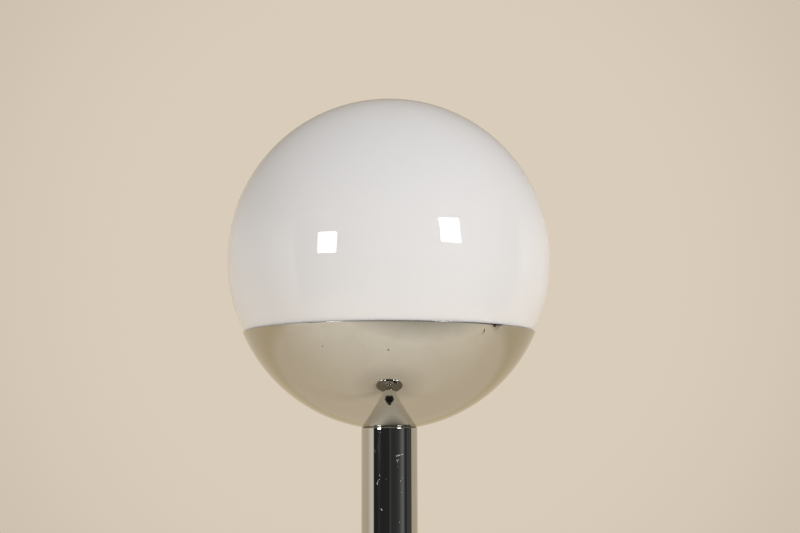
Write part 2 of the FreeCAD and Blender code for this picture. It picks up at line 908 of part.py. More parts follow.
def make_bulb_insulator():
    """Black glass between the shell and the tip."""
    edge = "bulb_cap_lip - hole_clearance"
    foot, top = above_tip("bulb_tip_height"), above_tip("insulator_top")
    return turned(
        "bulb_insulator",
        ("0", foot),
        ("insulator_foot", foot),
        (edge, above_tip("bulb_cap_foot")),
        (edge, top),
        ("0", top),
    )


def make_bulb_tip():
    """Contact button at the bulb's end, with a bevelled edge."""
    return turned(
        "bulb_tip",
        ("0", "tip_height"),
        ("bulb_tip_radius - 1", "tip_height"),
        ("bulb_tip_radius", above_tip("1")),
        ("bulb_tip_radius", above_tip("bulb_tip_height")),
        ("0", above_tip("bulb_tip_height")),
    )


# ---- dimmer ----

def make_dimmer_body():
    """Moulded body inside the column, rounded to its wall and bored for the bush."""
    body = new_body("dimmer_body")
    sketch = new_sketch(body, "XY_Plane", "dimmer_foot")
    half = "dimmer_width / 2"
    front = f"-sqrt(dimmer_reach^2 - ({half})^2)"
    outline(
        sketch,
        (f"-{half}", "-dimmer_back"),
        (f"-{half}", front, arc("0", "0", 1, held="y")),
        (half, front),
        (half, "-dimmer_back"),
    )
    pad(body, sketch, "dimmer_height")
    bore = new_sketch(body, lift="dimmer_floor")
    circle(bore, "bush_radius + thread_clearance", "0", "knob_height")
    pocket(body, bore, forward=True)
    return body


def make_dimmer_bush():
    """Threaded bush from the body through the column, bored for the spindle."""
    bore, end = "spindle_radius + spindle_clearance", "column_radius + bush_proud"
    body = turned(
        "dimmer_bush",
        (bore, "bush_foot"),
        ("bush_radius", "bush_foot"),
        ("bush_radius", f"{end} - bush_bevel"),
        ("bush_radius - bush_bevel", end),
        (bore, end),
    )
    return on_knob_axis(body)


def make_dimmer_washer():
    """Washer with one face dished to the column, to give the nut a flat seat."""
    body = new_body("dimmer_washer")
    sketch = new_sketch(body, lift="column_inner")
    circle(sketch, "washer_reach", "0", "knob_height")
    circle(sketch, "bush_radius + hole_clearance", "0", "knob_height")
    pad(body, sketch, "nut_seat - column_inner")
    hollow = new_sketch(body, "XY_Plane")
    circle(hollow, "column_radius + seat_clearance")
    pocket(body, hollow, forward=True)
    return body


def make_dimmer_nut():
    """Hexagon nut that clamps the dimmer to the column, hidden in the knob's recess."""
    body = new_body("dimmer_nut")
    sketch = new_sketch(body, lift="nut_seat")
    hexagon(sketch, "ring_nut_across", "knob_height")
    circle(sketch, "bush_radius + thread_clearance", "0", "knob_height")
    pad(body, sketch, "ring_nut_height")
    return body


def make_dimmer_spindle():
    """Spindle with a collar behind the bush and a flat for the knob's grip."""
    body = turned(
        "dimmer_spindle",
        ("0", "dimmer_floor + hole_clearance"),
        ("spindle_collar", "dimmer_floor + hole_clearance"),
        ("spindle_collar", "bush_foot - hole_clearance"),
        ("spindle_radius", "bush_foot - hole_clearance"),
        ("spindle_radius", "spindle_end"),
        ("0", "spindle_end"),
    )
    flat = new_sketch(body, "XY_Plane", "spindle_end - spindle_grip")
    rectangle(flat, "-spindle_radius", "spindle_radius", "spindle_flat", "spindle_radius + hole_spare")
    pocket(body, flat, forward=True)
    return on_knob_axis(body)


def make_dimmer_knob():
    """Tapering knob with a recess over the nut and a bore that grips the spindle's flat."""
    body = turned(
        "dimmer_knob",
        ("0", "knob_roof"),
        ("recess_reach", "knob_roof"),
        ("recess_reach", "knob_foot"),
        ("knob_radius", "knob_foot"),
        ("knob_tip", "knob_end - knob_bevel"),
        ("knob_tip - knob_bevel", "knob_end"),
        ("0", "knob_end"),
    )
    bore = new_sketch(body, "XY_Plane", "knob_roof")
    grip, flat = "(spindle_radius + thread_clearance)", "(spindle_flat + thread_clearance)"
    half = f"sqrt({grip}^2 - {flat}^2)"
    outline(bore, (f"-{half}", flat, arc("0", "0", 1, held="y")), (half, flat))
    pocket(body, bore, "spindle_end - knob_roof + thread_clearance", forward=True)
    return on_knob_axis(body)


def make_dimmer_tabs():
    """Two solder tabs under the dimmer."""
    body = new_body("dimmer_tabs")
    body.AllowCompound = True
    sketch = new_sketch(body, "XY_Plane", "dimmer_foot - tab_length")
    for side in (-1, 1):
        middle = f"{side} * tab_reach"
        rectangle(sketch, f"{middle} - tab_thickness / 2", f"{middle} + tab_thickness / 2",
                  "-tab_depth - tab_width / 2", "-tab_depth + tab_width / 2")
    pad(body, sketch, "tab_length")
    return body


# ---- leads ----

def make_riser_lead():
    """Sheathed lead from the connector, through the tie rod, to the lampholder's insert."""
    level = number("riser_height")
    points = [
        Vector(0, number("block_distance"), level),
        Vector(0, 0, level),
        Vector(0, 0, number("holder_base + cap_ledge")),
    ]
    return leads("riser_lead", [tube("riser_lead", number("riser_radius"), points, [number("riser_bend")])])


def make_dimmer_leads():
    """Two leads from the dimmer's tabs, straight down the column and back to the connector."""
    level, reach, depth = number("riser_height"), number("tab_reach"), number("tab_depth")
    top = number("dimmer_foot - tab_length")
    solids = []
    for side in (-1, 1):
        points = [
            Vector(side * reach, -depth, top),
            Vector(side * reach, -depth, level),
            Vector(side * reach, number("block_distance"), level),
        ]
        solids.append(tube("dimmer_leads", number("lead_radius"), points, [number("riser_bend")]))
    return leads("dimmer_leads", solids)


nodes = [
    make_felt_pad(),
    make_closing_plate(),
    make_closing_screws(),
    make_base_weight(),
    make_base_cover(),
    make_cord_gland(),
    make_terminal_block(),
    make_terminal_screws(),
    make_earth_tag(),
    make_earth_screw(),
    ring("lower_washer", "rod_hole", "washer_radius", "nut_top", "recess_top"),
    hex_nut("lower_nut", "nut_across", "nut_height", "nut_top - nut_height"),
    make_tie_rod(),
    ring("seat_ring", "column_inner + hole_clearance", "column_radius + seat_ring_proud",
         "base_height", "column_foot_height"),
    make_column_foot(),
    make_column_tube(),
    ring("column_head", "rod_hole", "plug_radius", "lip_centre - head_disc_drop",
         "lip_centre - head_disc_drop + head_disc_height"),
    make_bowl(),
    make_bowl_saddle(),
    ring("upper_washer", "rod_hole", "washer_radius", "saddle_top", "saddle_top + washer_thickness"),
    hex_nut("upper_nut", "nut_across", "nut_height", "saddle_top + washer_thickness"),
    make_globe_gasket(),
    make_globe(),
    hex_nut("holder_locknut", "locknut_across", "locknut_height", "holder_base - locknut_height"),
    make_holder_cap(),
    make_holder_insert(),
    make_holder_contact(),
    make_holder_thread(),
    make_holder_sleeve(),
    make_holder_ring(),
    make_bulb_glass(),
    make_bulb_stem(),
    make_bulb_filament(),
    make_bulb_cap(),
    make_bulb_insulator(),
    make_bulb_tip(),
    make_dimmer_body(),
    make_dimmer_bush(),
    make_dimmer_washer(),
    make_dimmer_nut(),
    make_dimmer_spindle(),
    make_dimmer_knob(),
    make_dimmer_tabs(),
    make_riser_lead(),
    make_dimmer_leads(),
]
doc.recompute()

for item in doc.Objects:
    if "Invalid" in item.State or "Error" in item.State:
        raise ValueError(f"{item.Label} failed: {item.State}")
for node in nodes:
    if node.Shape.isNull() or not node.Shape.isValid():
        raise ValueError(f"{node.Label} has no valid shape")

os.makedirs("parts", exist_ok=True)
for node in nodes:
    node.Shape.exportStep(f"parts/{node.Label}.step")
print(f"{len(nodes)} nodes, {sum(len(node.Shape.Solids) for node in nodes)} solids")
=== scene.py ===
# %% [markdown]
# # A globe floor lamp
# The lamp is an opal glass globe in a mirror-plated bowl, on a thick plated column with a low
# round foot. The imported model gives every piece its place. Almost every piece here is turned or
# blown, so most of this lesson is one idea: a half section carried once round an axis.

# %% Load the frame
import math

import bpy
import numpy as np
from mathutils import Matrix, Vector


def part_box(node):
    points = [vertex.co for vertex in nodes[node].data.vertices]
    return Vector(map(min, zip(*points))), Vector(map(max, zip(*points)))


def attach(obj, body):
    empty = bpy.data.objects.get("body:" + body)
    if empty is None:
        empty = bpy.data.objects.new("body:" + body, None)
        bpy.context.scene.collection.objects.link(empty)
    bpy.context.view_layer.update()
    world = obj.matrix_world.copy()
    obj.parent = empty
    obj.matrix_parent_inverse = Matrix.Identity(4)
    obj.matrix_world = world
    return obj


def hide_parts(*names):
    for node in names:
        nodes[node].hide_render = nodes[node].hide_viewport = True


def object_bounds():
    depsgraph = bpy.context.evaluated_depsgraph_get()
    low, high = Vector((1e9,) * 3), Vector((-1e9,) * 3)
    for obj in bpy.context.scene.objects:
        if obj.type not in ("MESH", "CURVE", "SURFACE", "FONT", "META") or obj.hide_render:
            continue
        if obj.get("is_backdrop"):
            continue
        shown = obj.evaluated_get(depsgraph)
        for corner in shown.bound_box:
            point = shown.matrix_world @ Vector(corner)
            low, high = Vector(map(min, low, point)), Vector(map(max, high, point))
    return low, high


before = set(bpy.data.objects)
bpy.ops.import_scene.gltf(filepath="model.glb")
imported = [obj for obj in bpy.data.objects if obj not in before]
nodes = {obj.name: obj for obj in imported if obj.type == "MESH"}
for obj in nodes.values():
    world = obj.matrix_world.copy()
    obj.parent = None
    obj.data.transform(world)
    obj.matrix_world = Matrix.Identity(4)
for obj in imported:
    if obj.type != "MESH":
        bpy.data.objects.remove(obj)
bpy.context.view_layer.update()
scene = bpy.context.scene

# %% [markdown]
# ## The camera
# The photograph looks at the globe from a little below its middle, tilted up by some seven
# degrees, with a fairly long lens. The position comes from the outlines of the globe, the bowl's
# rim and the column. Three angles aim it: the pitch, a trace of turn and a trace of roll.

# %% Camera
CAMERA_DISTANCE, CAMERA_HEIGHT = 1.5, 1.02113
SENSOR_WIDTH, FOCAL_LENGTH = 36.0, 62.52
PITCH, YAW, ROLL = math.radians(7.484), math.radians(0.431), math.radians(0.15)
camera_data = bpy.data.cameras.new("photo_camera")
camera_data.sensor_width = SENSOR_WIDTH
camera_data.lens = FOCAL_LENGTH
camera = bpy.data.objects.new("photo_camera", camera_data)
scene.collection.objects.link(camera)
camera.location = (0.0, -CAMERA_DISTANCE, CAMERA_HEIGHT)
camera.rotation_euler = (math.pi / 2 + PITCH, ROLL, -YAW)
scene.camera = camera
scene.view_settings.view_transform = "Standard"
print("camera at", tuple(round(value, 3) for value in camera.location))

# %% [markdown]
# ## Node trees in few words
# Each material is a small network. These helpers add a node, set its sockets and join it, so that
# a material further down reads as a list of what its surface shows.


# %% Node helpers
def link_or_set(tree, socket, value):
    """Join a socket to another, or set its value."""
    if isinstance(value, bpy.types.NodeSocket):
        tree.links.new(value, socket)
    else:
        socket.default_value = value


def add(tree, kind, out=0, settings=None, **sockets):
    """Add a node, set its settings and sockets, and return one of its outputs."""
    node = tree.nodes.new(kind)
    for name, value in (settings or {}).items():
        setattr(node, name, value)
    for name, value in sockets.items():
        key = int(name[1:]) if name[0] == "i" and name[1:].isdigit() else name.replace("_", " ")
        link_or_set(tree, node.inputs[key], value)
    return node.outputs[out]


def math_node(tree, operation, first, second=0.0, third=0.0):
    """One arithmetic step on two numbers, or three: MULTIPLY_ADD is first times second plus third."""
    return add(tree, "ShaderNodeMath", settings={"operation": operation}, i0=first, i1=second, i2=third)


def split(tree, vector):
    """The x, y and z of a vector, as three sockets."""
    node = tree.nodes.new("ShaderNodeSeparateXYZ")
    tree.links.new(vector, node.inputs[0])
    return node.outputs


def bearing(tree, parts):
    """Angle round the upright axis, 0 at the front and positive to the right: atan2(x, -y)."""
    return math_node(tree, "ARCTAN2", parts[0], math_node(tree, "MULTIPLY", parts[1], -1.0))


def vector_number(tree, operation, first, **more):
    """A number worked from vectors: a length, or the dot product of two."""
    return add(tree, "ShaderNodeVectorMath", out=1, settings={"operation": operation}, i0=first, **more)


def noise(tree, place, scale, detail=4.0, rough=0.6):
    """Cloudy noise between 0 and 1."""
    return add(tree, "ShaderNodeTexNoise", Vector=place, Scale=scale, Detail=detail, Roughness=rough)


def ramp(tree, value, *stops):
    """Map a number through stops of (position, grey or colour)."""
    output = add(tree, "ShaderNodeValToRGB", Fac=value)
    elements = output.node.color_ramp.elements
    while len(elements) < len(stops):
        elements.new(0.5)
    for element, (position, colour) in zip(elements, stops):
        element.position = position
        element.color = (colour,) * 3 + (1.0,) if isinstance(colour, float) else (*colour, 1.0)
    return output


def mix(tree, share, first, second):
    """Blend two colours by a share."""
    return add(tree, "ShaderNodeMixRGB", Fac=share, Color1=first, Color2=second)


def multiply(tree, first, second):
    """Multiply two colours, channel by channel."""
    return add(tree, "ShaderNodeMixRGB", settings={"blend_type": "MULTIPLY"},
               Fac=1.0, Color1=first, Color2=second)


def colour(red, green, blue):
    """A colour given in the usual 0 to 255 steps, as light: about the share of 255 to the power 2.4."""
    def light(step):
        share = step / 255
        return share / 12.92 if share <= 0.04045 else ((share + 0.055) / 1.055) ** 2.4
    return (light(red), light(green), light(blue), 1.0)


def new_material(name, **sockets):
    """A material with one Principled shader, its constants on the shader's own sockets."""
    material = bpy.data.materials.new(name)
    material.use_nodes = True
    tree = material.node_tree
    shader = next(node for node in tree.nodes if node.type == "BSDF_PRINCIPLED")
    for socket, value in sockets.items():
        shader.inputs[socket.replace("_", " ")].default_value = value
    place = add(tree, "ShaderNodeTexCoord", out=3)
    return material, tree, shader, place


def stretched(tree, place, x=1.0, y=1.0, z=1.0, turn=(0.0, 0.0, 0.0), at=(0.0, 0.0, 0.0)):
    """The same place, moved, turned and stretched, so that a pattern follows the piece."""
    return add(tree, "ShaderNodeMapping", Vector=place, Location=at, Rotation=turn, Scale=(x, y, z))


def finish(tree, shader, base=None, rough=None, bump=None, strength=0.1, depth=0.0002):
    """Join a colour, a roughness and a height to the shader."""
    if base is not None:
        link_or_set(tree, shader.inputs["Base Color"], base)
    if rough is not None:
        link_or_set(tree, shader.inputs["Roughness"], rough)
    if bump is not None:
        normal = add(tree, "ShaderNodeBump", Strength=strength, Distance=depth, Height=bump)
        tree.links.new(normal, shader.inputs["Normal"])


print("node helpers ready")

# %% [markdown]
# ## Turning a profile
# A lathe piece is a profile (radius, height) carried round the vertical axis:
# x = r cos a, y = r sin a, z = h. Sharp corners look false on plated metal, so every corner gets a
# small arc. Each arc has one more point just outside it at both ends, which keeps the flats flat
# when the shading is smoothed.


# %% Lathe helpers
TURNS = 192


def corner_arc(before, corner, after, radius, steps=5):
    """Points of the arc that rounds one corner: tangent to both runs, at the given radius."""
    inward = (before - corner) / np.linalg.norm(before - corner)
    outward = (after - corner) / np.linalg.norm(after - corner)
    half = math.acos(float(np.clip(inward @ outward, -1, 1))) / 2
    reach = radius / math.tan(half)
    limit = 0.45 * min(np.linalg.norm(before - corner), np.linalg.norm(after - corner))
    if reach > limit:
        reach, radius = limit, limit * math.tan(half)
    middle = corner + (inward + outward) / np.linalg.norm(inward + outward) * radius / math.sin(half)
    start, end = corner + inward * reach, corner + outward * reach
    first = math.atan2(*(start - middle)[::-1])
    sweep = math.atan2(*(end - middle)[::-1]) - first
    sweep = (sweep + math.pi) % (2 * math.pi) - math.pi
    angles = first + sweep * np.linspace(0, 1, steps)
    arc = middle + radius * np.stack([np.cos(angles), np.sin(angles)], 1)
    guard = min(radius * 0.6, limit * 0.5)
    return np.vstack([start + inward * guard, arc, end + outward * guard])


def rounded(points, radius=0.0006, closed=True):
    """A profile of straight runs whose corners are arcs. A point may carry its own radius."""
    spots = np.array([point[:2] for point in points], float)
    radii = [point[2] if len(point) > 2 else radius for point in points]
    count, pieces = len(spots), []
    for index in range(count):
        open_end = not closed and index in (0, count - 1)
        if open_end or radii[index] == 0 or (not closed and spots[index][0] < 1e-6):
            pieces.append(spots[index][None])
            continue
        pieces.append(corner_arc(spots[index - 1], spots[index], spots[(index + 1) % count], radii[index]))
    return np.vstack(pieces)


def finer(profile, longest=0.004, closed=True):
    """The same profile with long runs cut into shorter ones."""
    ends = np.roll(profile, -1, 0) if closed else profile[1:]
    starts = profile if closed else profile[:-1]
    parts = []
    for start, end in zip(starts, ends):
        count = max(1, int(np.ceil(np.linalg.norm(end - start) / longest)))
        parts.append(start + (end - start) * (np.arange(count) / count)[:, None])
    if not closed:
        parts.append(profile[-1:])
    return np.vstack(parts)


def section(points, longest, base=0.0, radius=0.0006, closed=True):
    """A rounded and finely cut half section, raised by a base height."""
    return finer(rounded(points, radius, closed), longest, closed) + np.array([0.0, base])


def grid_faces(rows, columns, close_rows, close_columns):
    """Quads between neighbours of a grid; a direction may close on itself."""
    row = np.arange(rows if close_rows else rows - 1)[:, None]
    column = np.arange(columns if close_columns else columns - 1)[None, :]
    next_row, next_column = (row + 1) % rows, (column + 1) % columns
    corners = [row * columns + column, row * columns + next_column,
               next_row * columns + next_column, next_row * columns + column]
    quads = [np.broadcast_to(corner, (row.size, column.size)) for corner in corners]
    return np.stack(quads, -1).reshape(-1, 4)


def mesh_object(name, vertices, faces, material, body, slot, *replaced):
    """Put arrays into a mesh, weld poles and seams, face it outwards, hang it on its body and hide what it
    replaces.
    """
    mesh = bpy.data.meshes.new(name)
    vertices = np.asarray(vertices, float)
    keys = np.round(vertices / 1e-7).astype(np.int64)
    _, first, inverse = np.unique(keys, axis=0, return_index=True, return_inverse=True)
    faces = inverse.reshape(-1)[np.asarray(faces)]
    full = (faces != np.roll(faces, 1, 1)).all(1)
    lists = faces[full].tolist()
    lists += [list(dict.fromkeys(face)) for face in faces[~full].tolist() if len(set(face)) > 2]
    mesh.from_pydata(vertices[first].tolist(), [], lists)
    mesh.validate()
    piece = bpy.data.objects.new(name, mesh)
    scene.collection.objects.link(piece)
    points = vertices[first]
    triangles = np.array([face[:3] for face in lists] +
                         [(face[0], face[2], face[3]) for face in lists if len(face) > 3])
    a, b, c = (points[triangles[:, index]] for index in range(3))
    if np.einsum("ij,ij->i", a, np.cross(b, c)).sum() < 0:
        mesh.flip_normals()
    mesh.polygons.foreach_set("use_smooth", np.ones(len(mesh.polygons), bool))
    mesh.materials.append(material)
    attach(piece, body)
    if replaced:
        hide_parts(*replaced)
    print(f"{name}: {len(mesh.polygons)} faces")
    return piece


def lathe_points(profile, turns=TURNS, waves=None):
    """x = r cos a, y = r sin a, z = h on a grid; waves(r, h, a) may change the radius."""
    angle = np.arange(turns) * 2 * np.pi / turns
    radius, height = profile[:, :1], profile[:, 1:]
    reach = radius + np.zeros((1, turns)) if waves is None else waves(radius, height, angle[None, :])
    return np.stack([reach * np.cos(angle), reach * np.sin(angle), height + 0 * reach], -1).reshape(-1, 3)


def lathe(name, profile, material, body, slot, *replaced, turns=TURNS, closed=True, waves=None):
    """A turned piece: the profile on the grid's rows, one turn on its columns."""
    points = lathe_points(profile, turns, waves)
    faces = grid_faces(len(profile), turns, closed, True)
    return mesh_object(name, points, faces, material, body, slot, *replaced)


def sphere_arc(radius, centre, low, high, steps):
    """A profile along a sphere between two heights: r = R cos t, z = c + R sin t in even steps of t."""
    first = math.asin(np.clip((low - centre) / radius, -1, 1))
    last = math.asin(np.clip((high - centre) / radius, -1, 1))
    angle = np.linspace(first, last, steps)
    return np.stack([radius * np.cos(angle), centre + radius * np.sin(angle)], 1)


print("lathe helpers ready")

# %% [markdown]
# ## Mirror plating
# Chrome reflects a little over half of the light, less than people expect, and more at grazing
# angles. Its age shows in fine hairlines along the way it was polished, in faint smudges that only
# dull the reflection, and in a few chips that let the dark metal through. All of it is worked from
# Object coordinates.

# %% Chrome
CHROME = (0.545, 0.548, 0.532, 1.0)
DULL_CHROME = (0.525, 0.522, 0.498, 1.0)
BARE_METAL = (0.060, 0.048, 0.028, 1.0)


def chrome(name, hairlines, smudge_scale=9.0):
    """Plating whose smudges and hairlines change its colour, roughness and height."""
    material, tree, shader, place = new_material(name, Metallic=1.0)
    smudge = noise(tree, place, smudge_scale, 5.0, 0.62)
    lines = noise(tree, stretched(tree, place, *hairlines), 60.0, 3.0, 0.7)
    specks = noise(tree, place, 420.0, 2.0, 0.5)
    base = mix(tree, ramp(tree, smudge, (0.35, 0.0), (0.75, 1.0)), CHROME, DULL_CHROME)
    base = mix(tree, ramp(tree, specks, (0.77, 0.0), (0.81, 0.8)), base, (0.25, 0.24, 0.21, 1.0))
    rough = math_node(tree, "ADD", ramp(tree, smudge, (0.3, 0.015), (0.8, 0.045)),
                      ramp(tree, lines, (0.58, 0.0), (0.75, 0.03)))
    finish(tree, shader, base, rough, lines, 0.02, 0.00005)
    return material, tree, shader, place, base, rough


def unrolled(tree, place):
    """The place laid flat: degrees round the axis from the front, and height in millimetres."""
    parts = split(tree, place)
    return add(tree, "ShaderNodeCombineXYZ", X=math_node(tree, "MULTIPLY", bearing(tree, parts), 180 / math.pi),
               Y=math_node(tree, "MULTIPLY", parts[2], 1000.0))


def marks(tree, flat, strokes, degree):
    """Nearness to the closest of some short strokes, each (turn, height, turn, height, half width).

    Turns are in degrees and heights in millimetres; a degree is that many millimetres here. Each
    stroke is a box, turned and scaled so that its edge lies at 1.
    """
    spread = stretched(tree, flat, degree, 1.0, 1.0)
    nearest = None
    for turn_a, height_a, turn_b, height_b, half in strokes:
        start, end = np.array([turn_a * degree, height_a]), np.array([turn_b * degree, height_b])
        run, middle = end - start, (start + end) / 2
        length = np.linalg.norm(run) / 2 + half
        angle = -math.atan2(run[1], run[0])
        cosine, sine = math.cos(angle), math.sin(angle)
        turned = (cosine * middle[0] - sine * middle[1], sine * middle[0] + cosine * middle[1])
        upright = stretched(tree, spread, turn=(0.0, 0.0, angle))
        box = stretched(tree, upright, 1 / length, 1 / half, 1.0,
                        at=(-turned[0] / length, -turned[1] / half, 0.0))
        sides = split(tree, add(tree, "ShaderNodeVectorMath", settings={"operation": "ABSOLUTE"}, i0=box))
        reach = math_node(tree, "MAXIMUM", sides[0], sides[1])
        nearest = reach if nearest is None else math_node(tree, "MINIMUM", nearest, reach)
    return nearest


print("chrome ready")

# %% [markdown]
# ## The bowl
# The bowl is spun from sheet, part of a sphere, with a thin cut edge at its rim. The rim's edge is
# what shows as a dark line under the glass, so it is modelled with its real thickness, and its top
# is painted dark as painted shade of the gap under the glass. Its mirror is true only if the mesh
# is fine: the outside is 150 rings by 384 steps.

# %% Bowl
GLOBE_CENTRE, GLOBE_RADIUS = 1.225, 0.175
BOWL_INNER, BOWL_OUTER = 0.170667, 0.171867
BOWL_CENTRE = 1.213667
RIM_HEIGHT = 1.145
ROD_HOLE = 0.0052
FINE_TURNS = 384


def cut_height(radius, reach):
    """Height of a sphere's lower half at a distance from the axis: z = c - sqrt(R^2 - r^2)."""
    return BOWL_CENTRE - math.sqrt(reach**2 - radius**2)


rim_start = RIM_HEIGHT - 0.00035
outer = sphere_arc(BOWL_OUTER, BOWL_CENTRE, cut_height(ROD_HOLE, BOWL_OUTER), rim_start, 150)
inner = sphere_arc(BOWL_INNER, BOWL_CENTRE, cut_height(ROD_HOLE, BOWL_INNER), rim_start, 80)[::-1]
rim_outer = math.sqrt(BOWL_OUTER**2 - (RIM_HEIGHT - BOWL_CENTRE) ** 2)
rim_inner = math.sqrt(BOWL_INNER**2 - (RIM_HEIGHT - BOWL_CENTRE) ** 2)
rim = np.array([(rim_outer - 0.0001, RIM_HEIGHT - 0.0001), (rim_outer - 0.0003, RIM_HEIGHT),
                (rim_inner + 0.0003, RIM_HEIGHT), (rim_inner + 0.0001, RIM_HEIGHT - 0.0001)])
bowl_profile = np.vstack([outer, rim, inner])


# %% [markdown]
# The plating has flaked at the right of the rim: a small flat triangle with bare, dark metal and a
# short split beside it. Both are strokes of different width laid on the unrolled surface, and a
# ragged noise breaks their edges.

# %% Bowl's plating
RIM_CHIPS = [
    (40.4, 1145.0, 43.9, 1144.8, 0.9), (41.2, 1144.0, 43.2, 1143.8, 0.8),
    (41.9, 1142.8, 42.5, 1142.5, 0.9), (37.7, 1138.8, 37.9, 1136.4, 0.55),
    (37.6, 1136.4, 37.5, 1134.2, 0.3), (-0.5, 1117.2, -0.1, 1117.1, 0.5),
    (-27.1, 1122.2, -26.8, 1122.0, 0.4),
]
BOWL_DEGREE, COLUMN_DEGREE = 2.72, 0.524  # millimetres along each surface in one degree of turn
# The dark colour on the rim's cut edge is painted shade of the gap under the glass.
EDGE_BAND = 1.0  # millimetres below the rim where the cut edge's colour starts
bowl_metal, tree, shader, place, base, rough = chrome("bowl_plating", (0.05, 0.05, 9.0), 8.0)
near = marks(tree, unrolled(tree, place), RIM_CHIPS, BOWL_DEGREE)
ragged = ramp(tree, noise(tree, place, 600.0, 3.0, 0.7), (0.3, 0.0), (0.7, 0.5))
near = math_node(tree, "MULTIPLY", math_node(tree, "ADD", near, ragged), 0.72)
chip = ramp(tree, near, (0.80, 1.0), (0.98, 0.0))
# The top of the rim is made rougher, and painted dark as painted shade of the gap under the glass.
above_band = math_node(tree, "MULTIPLY_ADD", split(tree, place)[2], 1000.0, -(RIM_HEIGHT * 1000 - EDGE_BAND))
edge_dull_and_shade = ramp(tree, above_band, (0.72, 0.0), (0.88, 1.0))
base = mix(tree, edge_dull_and_shade, base, (0.20, 0.19, 0.165, 1.0))
dull = math_node(tree, "MULTIPLY", math_node(tree, "MAXIMUM", chip, edge_dull_and_shade), 0.4)
finish(tree, shader, mix(tree, chip, base, BARE_METAL), math_node(tree, "ADD", rough, dull))
lathe("bowl_shell", bowl_profile, bowl_metal, "stand", "chrome", "bowl", turns=FINE_TURNS)

# %% [markdown]
# ## The column
# A thick plated tube. Its upper end turns in with a soft edge to meet the bowl, and the two lamps
# of the studio show on that edge as two small stars. It carries upright hairlines and a
# few short scratches, which show light because they scatter the lamps.

# %% Column
COLUMN_RADIUS, COLUMN_WALL, COLUMN_FOOT = 0.030, 0.002, 0.033
LIP_ROUND, LIP_TOP = 0.0013, 1.0441
lip_angle = np.linspace(0, math.pi / 2, 25)
lip_arc = np.stack([COLUMN_RADIUS - LIP_ROUND + LIP_ROUND * np.cos(lip_angle),
                    LIP_TOP - LIP_ROUND + LIP_ROUND * np.sin(lip_angle)], 1)
inner_lip = COLUMN_RADIUS - LIP_ROUND - 0.0004
tube_side = np.array([(COLUMN_RADIUS, COLUMN_FOOT + 0.0003), (COLUMN_RADIUS, LIP_TOP - LIP_ROUND - 0.001)])
column_profile = np.vstack([
    finer(tube_side, 0.02, False), lip_arc,
    [(inner_lip, LIP_TOP - 0.0004), (inner_lip, LIP_TOP - 0.0045),
     (COLUMN_RADIUS - COLUMN_WALL, LIP_TOP - 0.0065), (COLUMN_RADIUS - COLUMN_WALL, COLUMN_FOOT),
     (COLUMN_RADIUS - 0.0003, COLUMN_FOOT)],
])
SCRATCHES = [
    (10.2, 1013.3, 31.8, 1016.2, 0.28), (14.5, 1011.0, 17.5, 1005.8, 0.11),
    (16.5, 1003.6, 18.5, 1001.9, 0.12), (22.4, 988.4, 23.2, 987.2, 0.25),
    (-27.0, 984.9, -19.5, 991.0, 0.16), (-23.8, 986.2, -25.4, 983.2, 0.2),
    (-20.4, 995.2, -18.8, 993.0, 0.12), (-10.0, 989.4, -3.0, 990.6, 0.12),
    (-19.2, 960.6, -14.1, 956.8, 0.11), (-17.8, 957.4, -13.6, 961.6, 0.11),
    (19.8, 945.8, 21.0, 945.0, 0.3), (24.6, 976.6, 25.4, 975.6, 0.2),
    (18.2, 1010.0, 18.7, 1009.4, 0.25), (26.8, 991.2, 27.3, 990.6, 0.25),
    (-31.6, 1021.0, -30.8, 1017.0, 0.16),
]
column_plating, tree, shader, place, base, rough = chrome("column_plating", (9.0, 9.0, 0.04), 12.0)
near = marks(tree, unrolled(tree, place), SCRATCHES, COLUMN_DEGREE)
broken = ramp(tree, noise(tree, place, 2200.0, 2.0, 0.6), (0.36, 0.0), (0.62, 0.6))
near = math_node(tree, "MULTIPLY", math_node(tree, "ADD", near, broken), 0.6)
scratch = ramp(tree, near, (0.42, 1.0), (0.66, 0.0))
speckle = add(tree, "ShaderNodeTexNoise", Vector=stretched(tree, place, z=0.5), Scale=900.0, Detail=1.0)
worn = ramp(tree, noise(tree, stretched(tree, place, z=0.3), 30.0, 4.0, 0.7), (0.5, 0.0), (0.66, 1.0))
speckle = math_node(tree, "MULTIPLY", ramp(tree, speckle, (0.72, 0.0), (0.77, 0.7)), worn)
scratch = math_node(tree, "MAXIMUM", scratch, speckle)
finish(tree, shader, mix(tree, scratch, base, (0.72, 0.72, 0.70, 1.0)),
       math_node(tree, "ADD", rough, math_node(tree, "MULTIPLY", scratch, 0.5)))
lathe("column_sleeve", column_profile, column_plating, "stand", "chrome", "column_tube", turns=256)

# %% [markdown]
# ## Opal glass
# The globe is blown white glass with a polished skin. Opal glass scatters light under its skin, so
# its shading is soft and even, while the lamps stand on it as two sharp squares. A diffuse white
# with a smooth dielectric coat gives both. Blown glass is never quite even: faint waves in the
# surface and a touch of warm and cool in the white keep it from looking like plastic.

# %% Globe
GLASS_WALL, MOUTH_DEPTH = 0.003, 0.120


